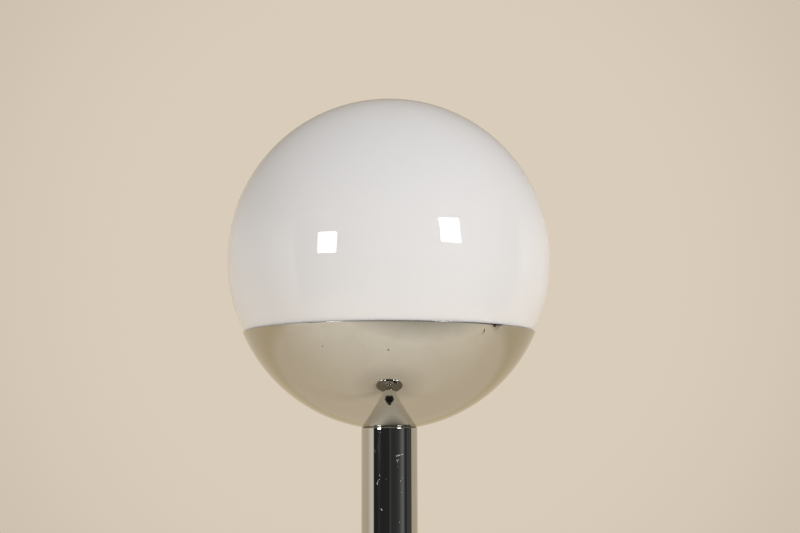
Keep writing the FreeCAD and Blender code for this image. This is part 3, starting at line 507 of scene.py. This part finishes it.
def opal_glass():
    """White scattering glass with a clear, nearly flawless skin."""
    material, tree, shader, place = new_material(
        "opal_glass", IOR=1.5, Subsurface_Weight=0.35, Subsurface_Radius=(1.0, 0.95, 0.9),
        Subsurface_Scale=0.006)
    cloud = noise(tree, place, 5.0, 3.0, 0.5)
    streak = noise(tree, stretched(tree, place, z=3.0), 14.0, 4.0, 0.6)
    base = mix(tree, cloud, colour(231, 231, 233), colour(228, 228, 231))
    base = mix(tree, ramp(tree, streak, (0.62, 0.0), (0.72, 0.25)), base, colour(235, 236, 239))
    dust = noise(tree, place, 900.0, 2.0, 0.5)
    base = mix(tree, ramp(tree, dust, (0.785, 0.0), (0.82, 0.6)), base, colour(170, 160, 145))
    rough = ramp(tree, noise(tree, place, 22.0, 5.0, 0.65), (0.45, 0.035), (0.75, 0.075))
    finish(tree, shader, base, rough, noise(tree, place, 7.0, 2.0, 0.4), 0.05, 0.0006)
    return material


glass = opal_glass()
mouth = GLOBE_CENTRE - MOUTH_DEPTH
outside = sphere_arc(GLOBE_RADIUS, GLOBE_CENTRE, mouth + 0.0008, GLOBE_CENTRE + GLOBE_RADIUS, 130)
inside = sphere_arc(GLOBE_RADIUS - GLASS_WALL, GLOBE_CENTRE, mouth + 0.0008,
                    GLOBE_CENTRE + GLOBE_RADIUS - GLASS_WALL, 80)[::-1]
lip_out = math.sqrt(GLOBE_RADIUS**2 - MOUTH_DEPTH**2)
lip_in = math.sqrt((GLOBE_RADIUS - GLASS_WALL) ** 2 - MOUTH_DEPTH**2)
glass_lip = np.array([(lip_in + 0.0003, mouth + 0.0002), (lip_in + 0.001, mouth), (lip_out - 0.001, mouth),
                      (lip_out - 0.0003, mouth + 0.0002)])
outside[-1, 0] = inside[0, 0] = 0.0
globe_profile = np.vstack([glass_lip, outside, inside])
lathe("globe_glass", globe_profile, glass, "globe", "opal_glass", "globe", turns=FINE_TURNS)

# %% [markdown]
# ## The foot
# The foot's cover is spun and plated like the bowl: a flat top, a shoulder of 16 mm and a short
# upright side. Under it lie the iron weight, the plate and the felt, which show only from below.

# %% Foot
BASE_RADIUS, BASE_HEIGHT, SHOULDER, COVER_WALL = 0.140, 0.032, 0.016, 0.0015
quarter = np.linspace(0, math.pi / 2, 25)


def shoulder_arc(radius):
    """A quarter circle about the shoulder's centre, from the side up to the top."""
    return np.stack([BASE_RADIUS - SHOULDER + radius * np.cos(quarter),
                     BASE_HEIGHT - SHOULDER + radius * np.sin(quarter)], 1)


cover_profile = np.vstack([
    [(BASE_RADIUS - 0.0004, 0.001), (BASE_RADIUS, 0.0014), (BASE_RADIUS, 0.008)],
    shoulder_arc(SHOULDER),
    finer(np.array([(BASE_RADIUS - SHOULDER - 0.001, BASE_HEIGHT), (ROD_HOLE, BASE_HEIGHT)]), 0.02, False),
    [(ROD_HOLE, BASE_HEIGHT - COVER_WALL)],
    shoulder_arc(SHOULDER - COVER_WALL)[::-1],
    [(BASE_RADIUS - COVER_WALL, 0.001)],
])
cover_metal = chrome("cover_plating", (0.3, 0.3, 8.0), 14.0)[0]
lathe("foot_cover", cover_profile, cover_metal, "stand", "chrome", "base_cover", turns=FINE_TURNS)

# %% [markdown]
# ## Everyday finishes
# The hidden pieces have finishes that a workshop knows by name: cast iron under paint, zinc on
# steel, turned brass, moulded phenolic, glazed porcelain. Each one gets a base colour that varies,
# a roughness that varies with it and a height for the light to catch.


# %% Shop finishes
def shop_finish(name, light, dark, rough, scale, grain=(1.0, 1.0, 1.0),
                depth=0.0001, strength=0.25, **sockets):
    """A finish whose colour, roughness and height all follow one cloud and one grain."""
    material, tree, shader, place = new_material(name, **sockets)
    cloud = noise(tree, place, scale, 5.0, 0.6)
    lines = noise(tree, stretched(tree, place, *grain), scale * 9.0, 4.0, 0.65)
    tone = mix(tree, ramp(tree, cloud, (0.35, 0.0), (0.68, 1.0)), light, dark)
    tone = mix(tree, ramp(tree, lines, (0.55, 0.0), (0.8, 0.35)), tone, dark)
    finish(tree, shader, tone, ramp(tree, lines, (0.3, rough * 0.8), (0.75, min(1.0, rough * 1.3))),
           lines, strength, depth)
    return material


cast_iron = shop_finish("cast_iron", colour(62, 60, 58), colour(38, 36, 34), 0.75, 60.0, strength=0.6)
zinc = shop_finish("zinc_plate", colour(186, 188, 190), colour(150, 152, 152), 0.32, 45.0,
                   (1, 1, 6), Metallic=1.0)
turned_alloy = shop_finish("turned_alloy", colour(196, 197, 198), colour(168, 169, 170), 0.3, 30.0,
                           (1, 1, 9), Metallic=1.0)
brass = shop_finish("brass", colour(214, 178, 104), colour(178, 140, 74), 0.28, 40.0,
                    (1, 1, 6), Metallic=1.0)
black_moulding = shop_finish("black_moulding", colour(34, 33, 32), colour(24, 23, 22), 0.34, 70.0, IOR=1.5)
white_moulding = shop_finish("white_moulding", colour(232, 230, 222), colour(218, 214, 204), 0.45, 50.0)
phenolic = shop_finish("phenolic", colour(40, 30, 26), colour(24, 18, 16), 0.22, 35.0, IOR=1.6)
porcelain = shop_finish("porcelain", colour(236, 233, 226), colour(226, 222, 213), 0.12, 25.0, depth=0.00003)
clear_rubber = shop_finish("soft_ring", colour(196, 195, 188), colour(176, 174, 166), 0.5, 60.0,
                           Transmission_Weight=0.35)
tungsten = shop_finish("tungsten", colour(120, 120, 124), colour(80, 80, 84), 0.35, 200.0, Metallic=1.0)
cap_metal = shop_finish("cap_metal", colour(206, 207, 209), colour(176, 177, 179), 0.25, 60.0,
                        (1, 1, 5), Metallic=1.0)
black_glass = shop_finish("black_glass", colour(20, 20, 24), colour(12, 12, 15), 0.08, 60.0)
solder = shop_finish("solder", colour(190, 190, 190), colour(150, 150, 150), 0.38, 300.0, Metallic=1.0)
sheath = shop_finish("lead_sheath", colour(226, 224, 218), colour(206, 203, 196), 0.4, 60.0)
print("shop finishes ready")


# %% [markdown]
# ### Felt and glass
# Felt is pressed wool: short fibres in every direction. Two noises at different scales give the
# tufts and the fibres. The bulb is a frosted envelope, thin enough to let light through, and the
# stem inside it is clear.

# %% Felt, frosted and clear glass
felt, tree, shader, place = new_material("felt", Sheen_Weight=0.6, Sheen_Roughness=0.5)
fibres = noise(tree, place, 1800.0, 6.0, 0.8)
tufts = noise(tree, place, 240.0, 3.0, 0.6)
finish(tree, shader, mix(tree, fibres, colour(44, 48, 44), colour(20, 23, 20)), 0.95,
       math_node(tree, "ADD", fibres, tufts), 0.8, 0.0006)

frosted, tree, shader, place = new_material("frosted_envelope", IOR=1.5, Transmission_Weight=0.55)
etch = noise(tree, place, 500.0, 3.0, 0.6)
finish(tree, shader, mix(tree, etch, colour(240, 240, 236), colour(228, 228, 224)),
       ramp(tree, etch, (0.3, 0.42), (0.7, 0.55)), etch, 0.15, 0.00005)

clear, tree, shader, place = new_material("clear_stem", IOR=1.5, Transmission_Weight=1.0)
finish(tree, shader, mix(tree, noise(tree, place, 40.0), colour(242, 246, 246), colour(232, 238, 238)),
       ramp(tree, noise(tree, place, 90.0), (0.4, 0.02), (0.7, 0.06)))
print("felt and glass ready")

# %% [markdown]
# ## The dimmer's knob
# The bowl mirrors a small black knob on the front of the column: flat at its end, wider towards
# the column, and doubled below by its own image in the tube. It is made round the Z axis as a
# tapering profile whose side has shallow flutes, r = r0 - d w(h) (1 + cos 24 a) / 2, and then laid
# down so that its end faces the front.

# %% Knob
KNOB_HEIGHT = 0.908
KNOB_FOOT, KNOB_END = 0.0308, 0.052
FLUTES, FLUTE_DEPTH = 24, 0.00055
KNOB_TURNS = 288


def to_front(points, height):
    """Lay a piece made round Z on the knob's axis: (x, y, z) becomes (x, -z, y + height)."""
    return np.stack([points[:, 0], -points[:, 2], points[:, 1] + height], 1)


def flute_waves(radius, height, angle):
    """Flutes on the tapering side: the radius less d w (1 + cos 24 a) / 2, w fading at both ends."""
    share = np.clip((height - 0.0335) / 0.002, 0, 1) * np.clip((0.0500 - height) / 0.002, 0, 1)
    side = np.clip((radius - 0.0081) / 0.0004, 0, 1)
    depth = FLUTE_DEPTH * share * side
    return radius - depth * (1 + np.cos(FLUTES * angle)) / 2


knob_profile = section([
    (0.0, 0.0358, 0), (0.0082, 0.0358, 0.0002), (0.0082, KNOB_FOOT, 0.0003), (0.011, KNOB_FOOT, 0.0006),
    (0.0083, 0.0512, 0.0010), (0.0072, KNOB_END, 0.0006), (0.0, KNOB_END, 0)], 0.0012, closed=False)
knob_points = to_front(lathe_points(knob_profile, KNOB_TURNS, flute_waves), KNOB_HEIGHT)
mesh_object("knob_cap", knob_points, grid_faces(len(knob_profile), KNOB_TURNS, False, True),
            black_moulding, "knob", "black_plastic", "dimmer_knob")

# %% [markdown]
# A fine white line on the knob's end shows how far it is turned. It is a thin raised bar with
# rounded ends: a stadium outline carried up by a tenth of a millimetre.

# %% Knob pointer
BAR_STEPS, BAR_SIDES = 24, 16


def pointer_bar(half_long, half_wide, half_high, middle, level):
    """A bar with rounded ends: its oval section shrinks towards the ends as (1 - t^6)^(1/6)."""
    along = np.sin(np.linspace(-np.pi / 2, np.pi / 2, BAR_STEPS))[:, None]
    round_it = np.linspace(0, 2 * np.pi, BAR_SIDES, endpoint=False)[None, :]
    size = (1 - np.abs(along) ** 6) ** (1 / 6)
    return np.stack([half_wide * size * np.cos(round_it), middle + half_long * along + 0 * round_it,
                     level + half_high * size * np.sin(round_it)], -1).reshape(-1, 3)


bar = to_front(pointer_bar(0.0022, 0.00035, 0.00012, 0.0044, KNOB_END), KNOB_HEIGHT)
mesh_object("knob_pointer", bar, grid_faces(BAR_STEPS, BAR_SIDES, False, True), white_moulding,
            "knob", "white_plastic")

# %% [markdown]
# ## The lampholder
# A moulded cap, a sleeve and a screw ring in dark phenolic, with a porcelain insert and a brass
# shell inside. The ring has ribs to grip: its outer edge falls back between them.

# %% Lampholder
HOLDER_BASE = 1.115
SLEEVE_BASE = 1.139
RIBS, RIB_DEPTH = 28, 0.0007
cap_profile = section([
    (0.00505, 0.0, 0.0002), (0.008, 0.0), (0.0195, 0.012, 0.002), (0.0195, 0.024, 0.0003),
    (0.0175, 0.024, 0.0002),
    (0.0175, 0.018, 0.0002), (0.016, 0.018, 0.0002), (0.016, 0.014, 0.0005), (0.008, 0.005, 0.0005),
    (0.008, 0.010, 0.0003), (0.00505, 0.010, 0.0002)], 0.003, HOLDER_BASE)
lathe("socket_cap", cap_profile, phenolic, "stand", "bakelite", "holder_cap", turns=128)
sleeve_profile = section([
    (0.0151, 0.0, 0.0002), (0.0195, 0.0, 0.0003), (0.0195, 0.0032, 0.0003), (0.0191, 0.0036, 0.0003),
    (0.0191, 0.0052, 0.0003), (0.0195, 0.0056, 0.0003), (0.0195, 0.031, 0.0004), (0.0185, 0.032, 0.0004),
    (0.0175, 0.032, 0.0003), (0.0175, 0.002, 0.0003), (0.0151, 0.002, 0.0002)], 0.003, SLEEVE_BASE)
lathe("socket_sleeve", sleeve_profile, phenolic, "stand", "bakelite", "holder_sleeve", turns=128)


def ring_ribs(radius, height, angle):
    """Ribs on the outer edge: the radius less the depth times (1 - cos 28 a)^2 / 4."""
    outer_edge = np.clip((radius - 0.0235) / 0.001, 0, 1)
    return radius - RIB_DEPTH * outer_edge * (0.5 - 0.5 * np.cos(RIBS * angle)) ** 2


ring_profile = section([
    (0.01955, 0.010, 0.0003), (0.025, 0.010, 0.0006), (0.026, 0.011, 0.0005), (0.026, 0.013, 0.0005),
    (0.025, 0.014, 0.0006), (0.01955, 0.014, 0.0003)], 0.0012, SLEEVE_BASE)
lathe("socket_ring", ring_profile, phenolic, "stand", "bakelite", "holder_ring", turns=336, waves=ring_ribs)
insert_profile = section([
    (0.0, 0.018, 0), (0.0174, 0.018, 0.0004), (0.0174, 0.024, 0.0003), (0.015, 0.024, 0.0003),
    (0.015, 0.029, 0.0008), (0.0, 0.029, 0)], 0.003, HOLDER_BASE, closed=False)
lathe("socket_insert", insert_profile, porcelain, "stand", "porcelain", "holder_insert",
      turns=128, closed=False)

# %% [markdown]
# ### The screw cap and its shell
# The bulb's cap is rolled from thin sheet, so both its sides follow the same wave. A screw's wave
# climbs by one pitch each turn: r = r0 - d (1 - cos(2 pi h / p - a)) / 2. It fades out at both ends,
# where the real sheet is plain. The brass shell round it stays plain, because the cap's crests
# stand only 0.3 mm inside it.

# %% Screw cap and shell
THREAD_PITCH, THREAD_DEPTH, THREAD_FADE = 0.0036, 0.00085, 0.002
PLAIN_INSIDE = 0.0118  # the cap's narrow foot, inside this radius, has no thread


def screw_wave(low, high):
    """A rolled thread between two heights: the radius less d (1 - cos(2 pi h / p - a)) / 2."""
    def waves(radius, height, angle):
        fade = np.clip((height - low) / THREAD_FADE, 0, 1) * np.clip((high - height) / THREAD_FADE, 0, 1)
        wave = 0.5 - 0.5 * np.cos(2 * np.pi * height / THREAD_PITCH - angle)
        return radius - THREAD_DEPTH * fade * wave * (radius > PLAIN_INSIDE)
    return waves


INSERT_TOP = 1.144
shell_profile = section([
    (0.009, 0.0, 0.0002), (0.0138, 0.0, 0.0004), (0.0138, 0.022, 0.0001), (0.0134, 0.022, 0.0001),
    (0.0134, 0.0004, 0.0002), (0.009, 0.0004, 0.0001)], 0.0005, INSERT_TOP)
lathe("socket_thread", shell_profile, brass, "stand", "brass", "holder_thread", turns=96)
TIP = 1.148
bulb_cap_profile = section([
    (0.0114, 0.0047, 0.0001), (0.0131, 0.0065, 0.0008), (0.0131, 0.027, 0.0001), (0.0128, 0.027, 0.0001),
    (0.0128, 0.0068, 0.0006), (0.0114, 0.0053, 0.0001)], 0.0005, TIP)
lathe("bulb_screw_cap", bulb_cap_profile, cap_metal, "bulb", "cap_aluminium", "bulb_cap", turns=96,
      waves=screw_wave(TIP + 0.0085, TIP + 0.0255))

# %% [markdown]
# ### The bulb
# The envelope is a round head and a neck joined by a straight cone that touches both. Its wall is
# under a millimetre, so it is a closed skin with an inside and an outside.

# %% Bulb
BULB_RADIUS, NECK, WALL = 0.030, 0.0124, 0.0008
neck_drop = 0.050
neck_turn = math.atan(NECK / neck_drop) + math.acos(BULB_RADIUS / math.hypot(NECK, neck_drop))


def envelope(radius, neck, steps):
    """Half section from the neck's foot, straight up a cone, to a round head: r = R sin t, z = c - R cos t."""
    turn = np.linspace(neck_turn, math.pi, steps)
    head = np.stack([radius * np.sin(turn), GLOBE_CENTRE - radius * np.cos(turn)], 1)
    foot = np.array([(neck, TIP + 0.016), (neck, TIP + 0.020), (neck, TIP + 0.0258)])
    bend = np.array([(neck + 0.00006, TIP + 0.0266), (neck + 0.0002, TIP + 0.0274)])
    run = np.linspace((neck + 0.0005, TIP + 0.0284), head[0], 14)
    return np.vstack([foot, bend, run[:-1], head])


skin = envelope(BULB_RADIUS, NECK, 56)
lining = envelope(BULB_RADIUS - WALL, NECK - WALL, 40)[::-1]
skin[-1, 0] = lining[0, 0] = 0.0
lathe("bulb_envelope", np.vstack([skin, lining]), frosted, "bulb", "frosted_glass", "bulb_glass", turns=128)

# %% [markdown]
# ## Nuts, washers and the rod
# When the globe is lifted, the bowl shows how the lamp is held together: a threaded rod, a saddle,
# a washer and two hexagon nuts. A nut is a turned disc with chamfers that is then kept inside six
# flats, which gives the curved line where chamfer and flat meet.

# %% Fixings in the bowl
def hexagon(across):
    """Keep a turned nut inside six flats: r = min(r, (across / 2) / cos((a mod 60) - 30))."""
    def waves(radius, height, angle):
        flat = across / 2 / np.cos((angle % (math.pi / 3)) - math.pi / 6)
        return np.minimum(radius + 0 * angle, flat)
    return waves


ROD_RADIUS, ROD_BORE, ROD_FOOT, ROD_TOP = 0.005, 0.0035, 0.015, 1.125
THREAD_LOW, THREAD_HIGH, THREAD_ROWS = 1.0545, 1.124, 330
ROD_PITCH, ROD_DEPTH = 0.001, 0.0003


def rod_waves(radius, height, angle):
    """The rod's thread: the radius less d (1 + cos(2 pi h / p - a)) / 2, on the outside only."""
    inside = (height > THREAD_LOW) & (height < THREAD_HIGH) & (radius > 0.0045)
    return radius - inside * ROD_DEPTH * (0.5 + 0.5 * np.cos(2 * np.pi * height / ROD_PITCH - angle))


rod_profile = np.vstack([
    [(ROD_BORE, ROD_FOOT), (ROD_RADIUS, ROD_FOOT), (ROD_RADIUS, THREAD_LOW)],
    np.linspace((ROD_RADIUS, THREAD_LOW + 0.0002), (ROD_RADIUS, THREAD_HIGH), THREAD_ROWS),
    [(0.0047, ROD_TOP), (ROD_BORE, ROD_TOP)]])
lathe("rod_thread", rod_profile, zinc, "stand", "zinc_steel", "tie_rod", turns=48, waves=rod_waves)


def ring(name, node, material, slot, inner, outer, low, high, edge=0.0003, turns=96):
    """A washer or ring: a rectangle with rounded corners, turned once."""
    profile = section([(inner, low), (outer, low), (outer, high), (inner, high)], 0.004, radius=edge)
    return lathe(name, profile, material, "stand", slot, node, turns=turns)


NUT_BORE, CHAMFER_START, CHAMFER_SLOPE = 0.0051, 0.97, 0.58


def nut(name, node, material, slot, across, low, high):
    """A hexagon nut: a disc with chamfered edges, kept inside six flats."""
    corner = across / 2 / math.cos(math.pi / 6)
    cut = corner - across / 2 * CHAMFER_START
    rise = cut * CHAMFER_SLOPE
    profile = finer(np.array([(NUT_BORE, low), (corner - cut, low), (corner, low + rise),
                              (corner, high - rise), (corner - cut, high), (NUT_BORE, high)]), 0.0008)
    return lathe(name, profile, material, "stand", slot, node, turns=144, waves=hexagon(across))


saddle_profile = section([(NUT_BORE, 1.0432, 0), (0.0135, 1.0438, 0), (0.016, 1.0446, 0.0003),
                          (0.016, 1.048, 0.002), (NUT_BORE, 1.048, 0.0003)], 0.002)
lathe("saddle_disc", saddle_profile, zinc, "stand", "zinc_steel", "bowl_saddle", turns=128)
ring("washer_upper", "upper_washer", zinc, "zinc_steel", NUT_BORE, 0.012, 1.048, 1.0495)
nut("nut_upper", "upper_nut", brass, "brass", 0.017, 1.0495, 1.0545)
nut("nut_holder", "holder_locknut", brass, "brass", 0.014, 1.112, 1.115)
ring("collar_seat", "seat_ring", black_moulding, "black_plastic", 0.0281, 0.0304, 0.032, 0.033, 0.0002, 192)
ring("felt_disc", "felt_pad", felt, "felt", 0.004, 0.133, 0.0, 0.002, 0.0006, 256)

# %% [markdown]
# ### The soft ring between glass and bowl
# The globe stands in the bowl on a clear soft ring. Its section is the gap itself, bounded inside
# and outside by the two spheres, so both sides are arcs.

# %% Soft ring, gland and the bulb's foot
GASKET_LOW, GASKET_HIGH = 1.110, 1.122
ring_outer = sphere_arc(0.170547, BOWL_CENTRE, GASKET_LOW, GASKET_HIGH, 9)
ring_inner = sphere_arc(0.1753, GLOBE_CENTRE, GASKET_LOW, GASKET_HIGH, 9)[::-1]
soft_profile = rounded(np.vstack([ring_outer, ring_inner]), 0.0002)
lathe("soft_seat", soft_profile, clear_rubber, "stand", "clear_rubber", "globe_gasket", turns=FINE_TURNS)


def to_back(points, height):
    """Lay a piece made round Z towards the back: (x, y, z) becomes (x, z, y + height)."""
    return np.stack([points[:, 0], points[:, 2], points[:, 1] + height], 1)


GLAND_HEIGHT, GLAND_TURNS = 0.009, 96
gland_profile = section([
    (0.0036, 0.1285, 0.0003), (0.0050, 0.1285, 0.0005), (0.0050, 0.140), (0.0065, 0.140, 0.0002),
    (0.0065, 0.1425, 0.001), (0.0036, 0.1425, 0.0008)], 0.002)
gland_points = to_back(lathe_points(gland_profile, GLAND_TURNS), GLAND_HEIGHT)
mesh_object("inlet_gland", gland_points, grid_faces(len(gland_profile), GLAND_TURNS, True, True),
            black_moulding, "stand", "black_plastic", "cord_gland")
low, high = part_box("bulb_insulator")
glass_foot = TIP + 0.0014
insulator_profile = section([
    (0.0, glass_foot, 0), (0.0045, glass_foot, 0.0004), (0.0113, TIP + 0.0058, 0.0006),
    (0.0113, high.z, 0.0003), (0.0, high.z, 0)], 0.001, closed=False)
lathe("bulb_foot", insulator_profile, black_glass, "bulb", "black_glass", "bulb_insulator",
      turns=96, closed=False)
tip_profile = section([(0.0, TIP, 0), (0.004, TIP, 0.001), (0.004, glass_foot, 0.0002), (0.0, glass_foot, 0)],
                      0.0006, closed=False)
lathe("bulb_contact", tip_profile, solder, "bulb", "solder", "bulb_tip", turns=64, closed=False)

# %% [markdown]
# ## What stays as packed
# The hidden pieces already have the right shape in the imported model, so each keeps its own mesh
# and only gets its finish.

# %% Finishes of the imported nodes
FINISHES = {
    "closing_plate": zinc, "closing_screws": zinc, "base_weight": cast_iron, "terminal_block": white_moulding,
    "terminal_screws": zinc, "earth_tag": brass, "earth_screw": zinc, "lower_washer": zinc, "lower_nut": zinc,
    "column_foot": turned_alloy, "column_head": turned_alloy, "holder_contact": brass, "bulb_stem": clear,
    "bulb_filament": tungsten, "dimmer_body": phenolic, "dimmer_bush": brass, "dimmer_washer": zinc,
    "dimmer_nut": brass, "dimmer_spindle": turned_alloy, "dimmer_tabs": brass, "riser_lead": sheath,
    "dimmer_leads": sheath,
}
for node, material in FINISHES.items():
    mesh = nodes[node].data
    mesh.materials.clear()
    mesh.materials.append(material)
print(len(FINISHES), "nodes keep their mesh; not finished:",
      sorted(name for name, piece in nodes.items() if name not in FINISHES and not piece.hide_render))

# %% [markdown]
# ## The studio
# Two square soft lamps stand to the left and right of the camera. Their places come from the two
# bright squares on the globe: the one on the left is lower than the one on the right. The room
# behind the camera is dark, which is what makes the middle of the column black, and the paper
# behind the lamp and under it is pale beige, which the bowl mirrors.

# %% Lamps
def soft_lamp(name, azimuth, elevation, distance, wide, high, power):
    """A soft lamp that faces the globe from a direction measured from the camera's side."""
    turn, lift = math.radians(azimuth), math.radians(elevation)
    way = np.array([math.sin(turn) * math.cos(lift), -math.cos(turn) * math.cos(lift), math.sin(lift)])
    data = bpy.data.lights.new(name, "AREA")
    data.shape, data.size, data.size_y, data.energy = "RECTANGLE", wide, high, power
    lamp = bpy.data.objects.new(name, data)
    scene.collection.objects.link(lamp)
    spot = np.array([0, 0, GLOBE_CENTRE]) + way * distance
    lamp.location = spot
    lamp.rotation_euler = Vector(way.tolist()).to_track_quat("Z", "Y").to_euler()
    lamp.visible_camera = False
    print(name, [round(float(value), 2) for value in spot])
    return lamp


soft_lamp("soft_lamp_left", -42.1, 5.6, 5.16, 1.20, 1.16, 80.0)
soft_lamp("soft_lamp_right", 42.0, 13.2, 5.16, 1.24, 1.34, 137.0)

# %% [markdown]
# ### Floor and backdrop
# The floor is a wide disc of paper. It keeps the lamp's shadow near the foot and fades into the
# backdrop's own colour further out, so no horizon shows.

# %% Floor
BACKDROP = colour(217, 204, 186)
PAPER_GLOW = (0.22, 0.185, 0.15, 1.0)
FLOOR_RADIUS, FLOOR_TURNS = 3.6, 96
INTO_THE_DARK = (0.117, -0.333, 0.0)  # the way the paper darkens; 1 lies some 2.8 m in front
floor_material = bpy.data.materials.new("paper_floor")
floor_material.use_nodes = True
tree = floor_material.node_tree
tree.nodes.clear()
place = add(tree, "ShaderNodeTexCoord", out=3)
distance = math_node(tree, "DIVIDE", vector_number(tree, "LENGTH", place), FLOOR_RADIUS)
paths = tree.nodes.new("ShaderNodeLightPath")
seen_fade = ramp(tree, distance, (0.35, 0.0), (0.95, 1.0))
mirror_fade = ramp(tree, distance, (0.58, 0.0), (0.77, 1.0))
fade = mix(tree, paths.outputs["Is Camera Ray"], mirror_fade, seen_fade)
# Painted light in the paper's colour: it is paler towards the front, where it lies flat, and darker and
# yellower behind, where it turns up.
towards_front = math_node(tree, "MULTIPLY_ADD", split(tree, place)[1], -0.25, 0.5)
front_light_share = ramp(tree, towards_front, (0.40, 0.0), (0.72, 1.0))
paper = mix(tree, front_light_share, colour(228, 212, 184), colour(247, 240, 226))
paper = mix(tree, ramp(tree, noise(tree, place, 2.0), (0.4, 0.0), (0.7, 0.25)), paper, colour(214, 200, 176))
# Painted shade that only mirrors see: the paper darkens into the dark of the room some way in front of the
# lamp, and a little next to the foot.
reach = vector_number(tree, "DOT_PRODUCT", place, i1=INTO_THE_DARK)
mirror_shade = ramp(tree, reach, (0.30, 1.0), (0.477, 0.58), (0.70, 0.20), (1.0, 0.08))
# Painted shade next to the foot: the paper is a little darker close to it.
foot_shade = ramp(tree, distance, (0.06, 0.84), (0.12, 1.0))
mirror_shade = math_node(tree, "MULTIPLY", mirror_shade, foot_shade)
mirror_shade = mix(tree, paths.outputs["Is Glossy Ray"], (1.0, 1.0, 1.0, 1.0), mirror_shade)
diffuse = add(tree, "ShaderNodeBsdfDiffuse", Color=multiply(tree, paper, mirror_shade))
glow = add(tree, "ShaderNodeEmission", Color=multiply(tree, PAPER_GLOW, mirror_shade))
lit_paper = add(tree, "ShaderNodeAddShader", i0=diffuse, i1=glow)
open_air = add(tree, "ShaderNodeBsdfTransparent")
surface = add(tree, "ShaderNodeMixShader", Fac=fade, i1=lit_paper, i2=open_air)
tree.links.new(surface, tree.nodes.new("ShaderNodeOutputMaterial").inputs["Surface"])
radii = np.concatenate([[0.0], np.linspace(0.05, FLOOR_RADIUS, 24)])
floor_points = lathe_points(np.stack([radii, 0 * radii], 1), FLOOR_TURNS)
floor_faces = grid_faces(len(radii), FLOOR_TURNS, False, True)[:, ::-1]
floor_mesh = bpy.data.meshes.new("floor")
floor_mesh.from_pydata(floor_points.tolist(), [], floor_faces.tolist())
floor_mesh.materials.append(floor_material)
floor = bpy.data.objects.new("floor", floor_mesh)
scene.collection.objects.link(floor)
floor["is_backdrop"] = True
print("floor of", FLOOR_RADIUS, "m")

# %% [markdown]
# ### What the mirrors see
# The room is described by the direction of a ray. Round the horizon it is beige paper behind, and
# to the front a dark room with a few upright grey strips, which stand on the column as streaks.
# Above is a dim brown ceiling, which the foot shows to the bowl. Turning a direction into degrees
# round the axis makes the strips easy to place: 0 is the front, and the right is positive.

# %% World
world = bpy.data.worlds.new("studio")
scene.world = world
world.use_nodes = True
tree = world.node_tree
tree.nodes.clear()
way = add(tree, "ShaderNodeTexCoord", out=0)
parts = split(tree, way)
turn = math_node(tree, "MULTIPLY_ADD", bearing(tree, parts), 1 / (2 * math.pi), 0.5)
PAPER = (0.655, 0.555, 0.420)
BRIGHT_PAPER = (0.86, 0.80, 0.69)
ROOM = [(-180, PAPER), (-98, PAPER), (-84, BRIGHT_PAPER), (-68.6, BRIGHT_PAPER), (-68.0, 0.05),
        (-60, 0.022), (-46, 0.030), (-42, 0.050), (-38, 0.028), (-2, 0.030), (3, 0.080), (9, 0.042),
        (25, 0.045), (40, 0.070), (50, 0.17), (57, 0.22), (61, 0.12), (68, 0.035), (74, 0.035),
        (80, 0.10), (85, 0.06), (92, 0.10), (98, 0.07), (101.5, 0.07), (102.5, PAPER), (180, PAPER)]
LOW_PAPER = (0.62, 0.50, 0.32, 1.0)
CEILING = (0.33, 0.26, 0.175, 1.0)
POOL_AXIS = (0.0075, 0.9914, 0.1303)
room = ramp(tree, turn, *[(0.5 + degrees / 360, tone) for degrees, tone in ROOM])
below = ramp(tree, math_node(tree, "MULTIPLY", parts[2], -1.0), (0.02, 0.0), (0.35, 1.0))
behind = ramp(tree, turn, (0.2, 1.0), (0.28, 0.0), (0.78, 0.0), (0.84, 1.0))
room = mix(tree, math_node(tree, "MULTIPLY", below, behind), room, LOW_PAPER)
room = mix(tree, ramp(tree, parts[2], (0.18, 0.0), (0.42, 1.0)), room, CEILING)
paths = tree.nodes.new("ShaderNodeLightPath")
mirror = math_node(tree, "MAXIMUM", paths.outputs["Is Glossy Ray"], paths.outputs["Is Transmission Ray"])
# Matt surfaces get a soft fill from the same room: weak from the dark front, stronger from the paper.
FILL = [(-180, 0.56), (-75, 0.56), (-55, 0.22), (55, 0.22), (75, 0.70), (130, 0.70), (180, 0.56)]
WARM_GREEN, WARM_BLUE = 0.95, 0.885  # the fill's green and blue, as shares of its red
fill = ramp(tree, turn, *[(0.5 + degrees / 360, (tone, tone * WARM_GREEN, tone * WARM_BLUE))
                          for degrees, tone in FILL])
light = mix(tree, mirror, fill, room)
# The backdrop is lit in a wide soft pool behind the lamp, so it is a little dimmer further out.
axis = vector_number(tree, "DOT_PRODUCT", way, i1=POOL_AXIS)
pool = ramp(tree, axis, (0.94, colour(207, 193, 175)[:3]), (0.985, BACKDROP[:3]))
pool.node.color_ramp.interpolation = "EASE"
light = mix(tree, paths.outputs["Is Camera Ray"], light, pool)
background = add(tree, "ShaderNodeBackground", Color=light)
tree.links.new(background, tree.nodes.new("ShaderNodeOutputWorld").inputs["Surface"])
print("world ready with", len(ROOM), "strips")

# %% [markdown]
# ## Measure
# The last cell prints the box of what shows.

# %% Sizes and finish
low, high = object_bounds()
print("visual box", [round(value, 4) for value in (*low, *high)])
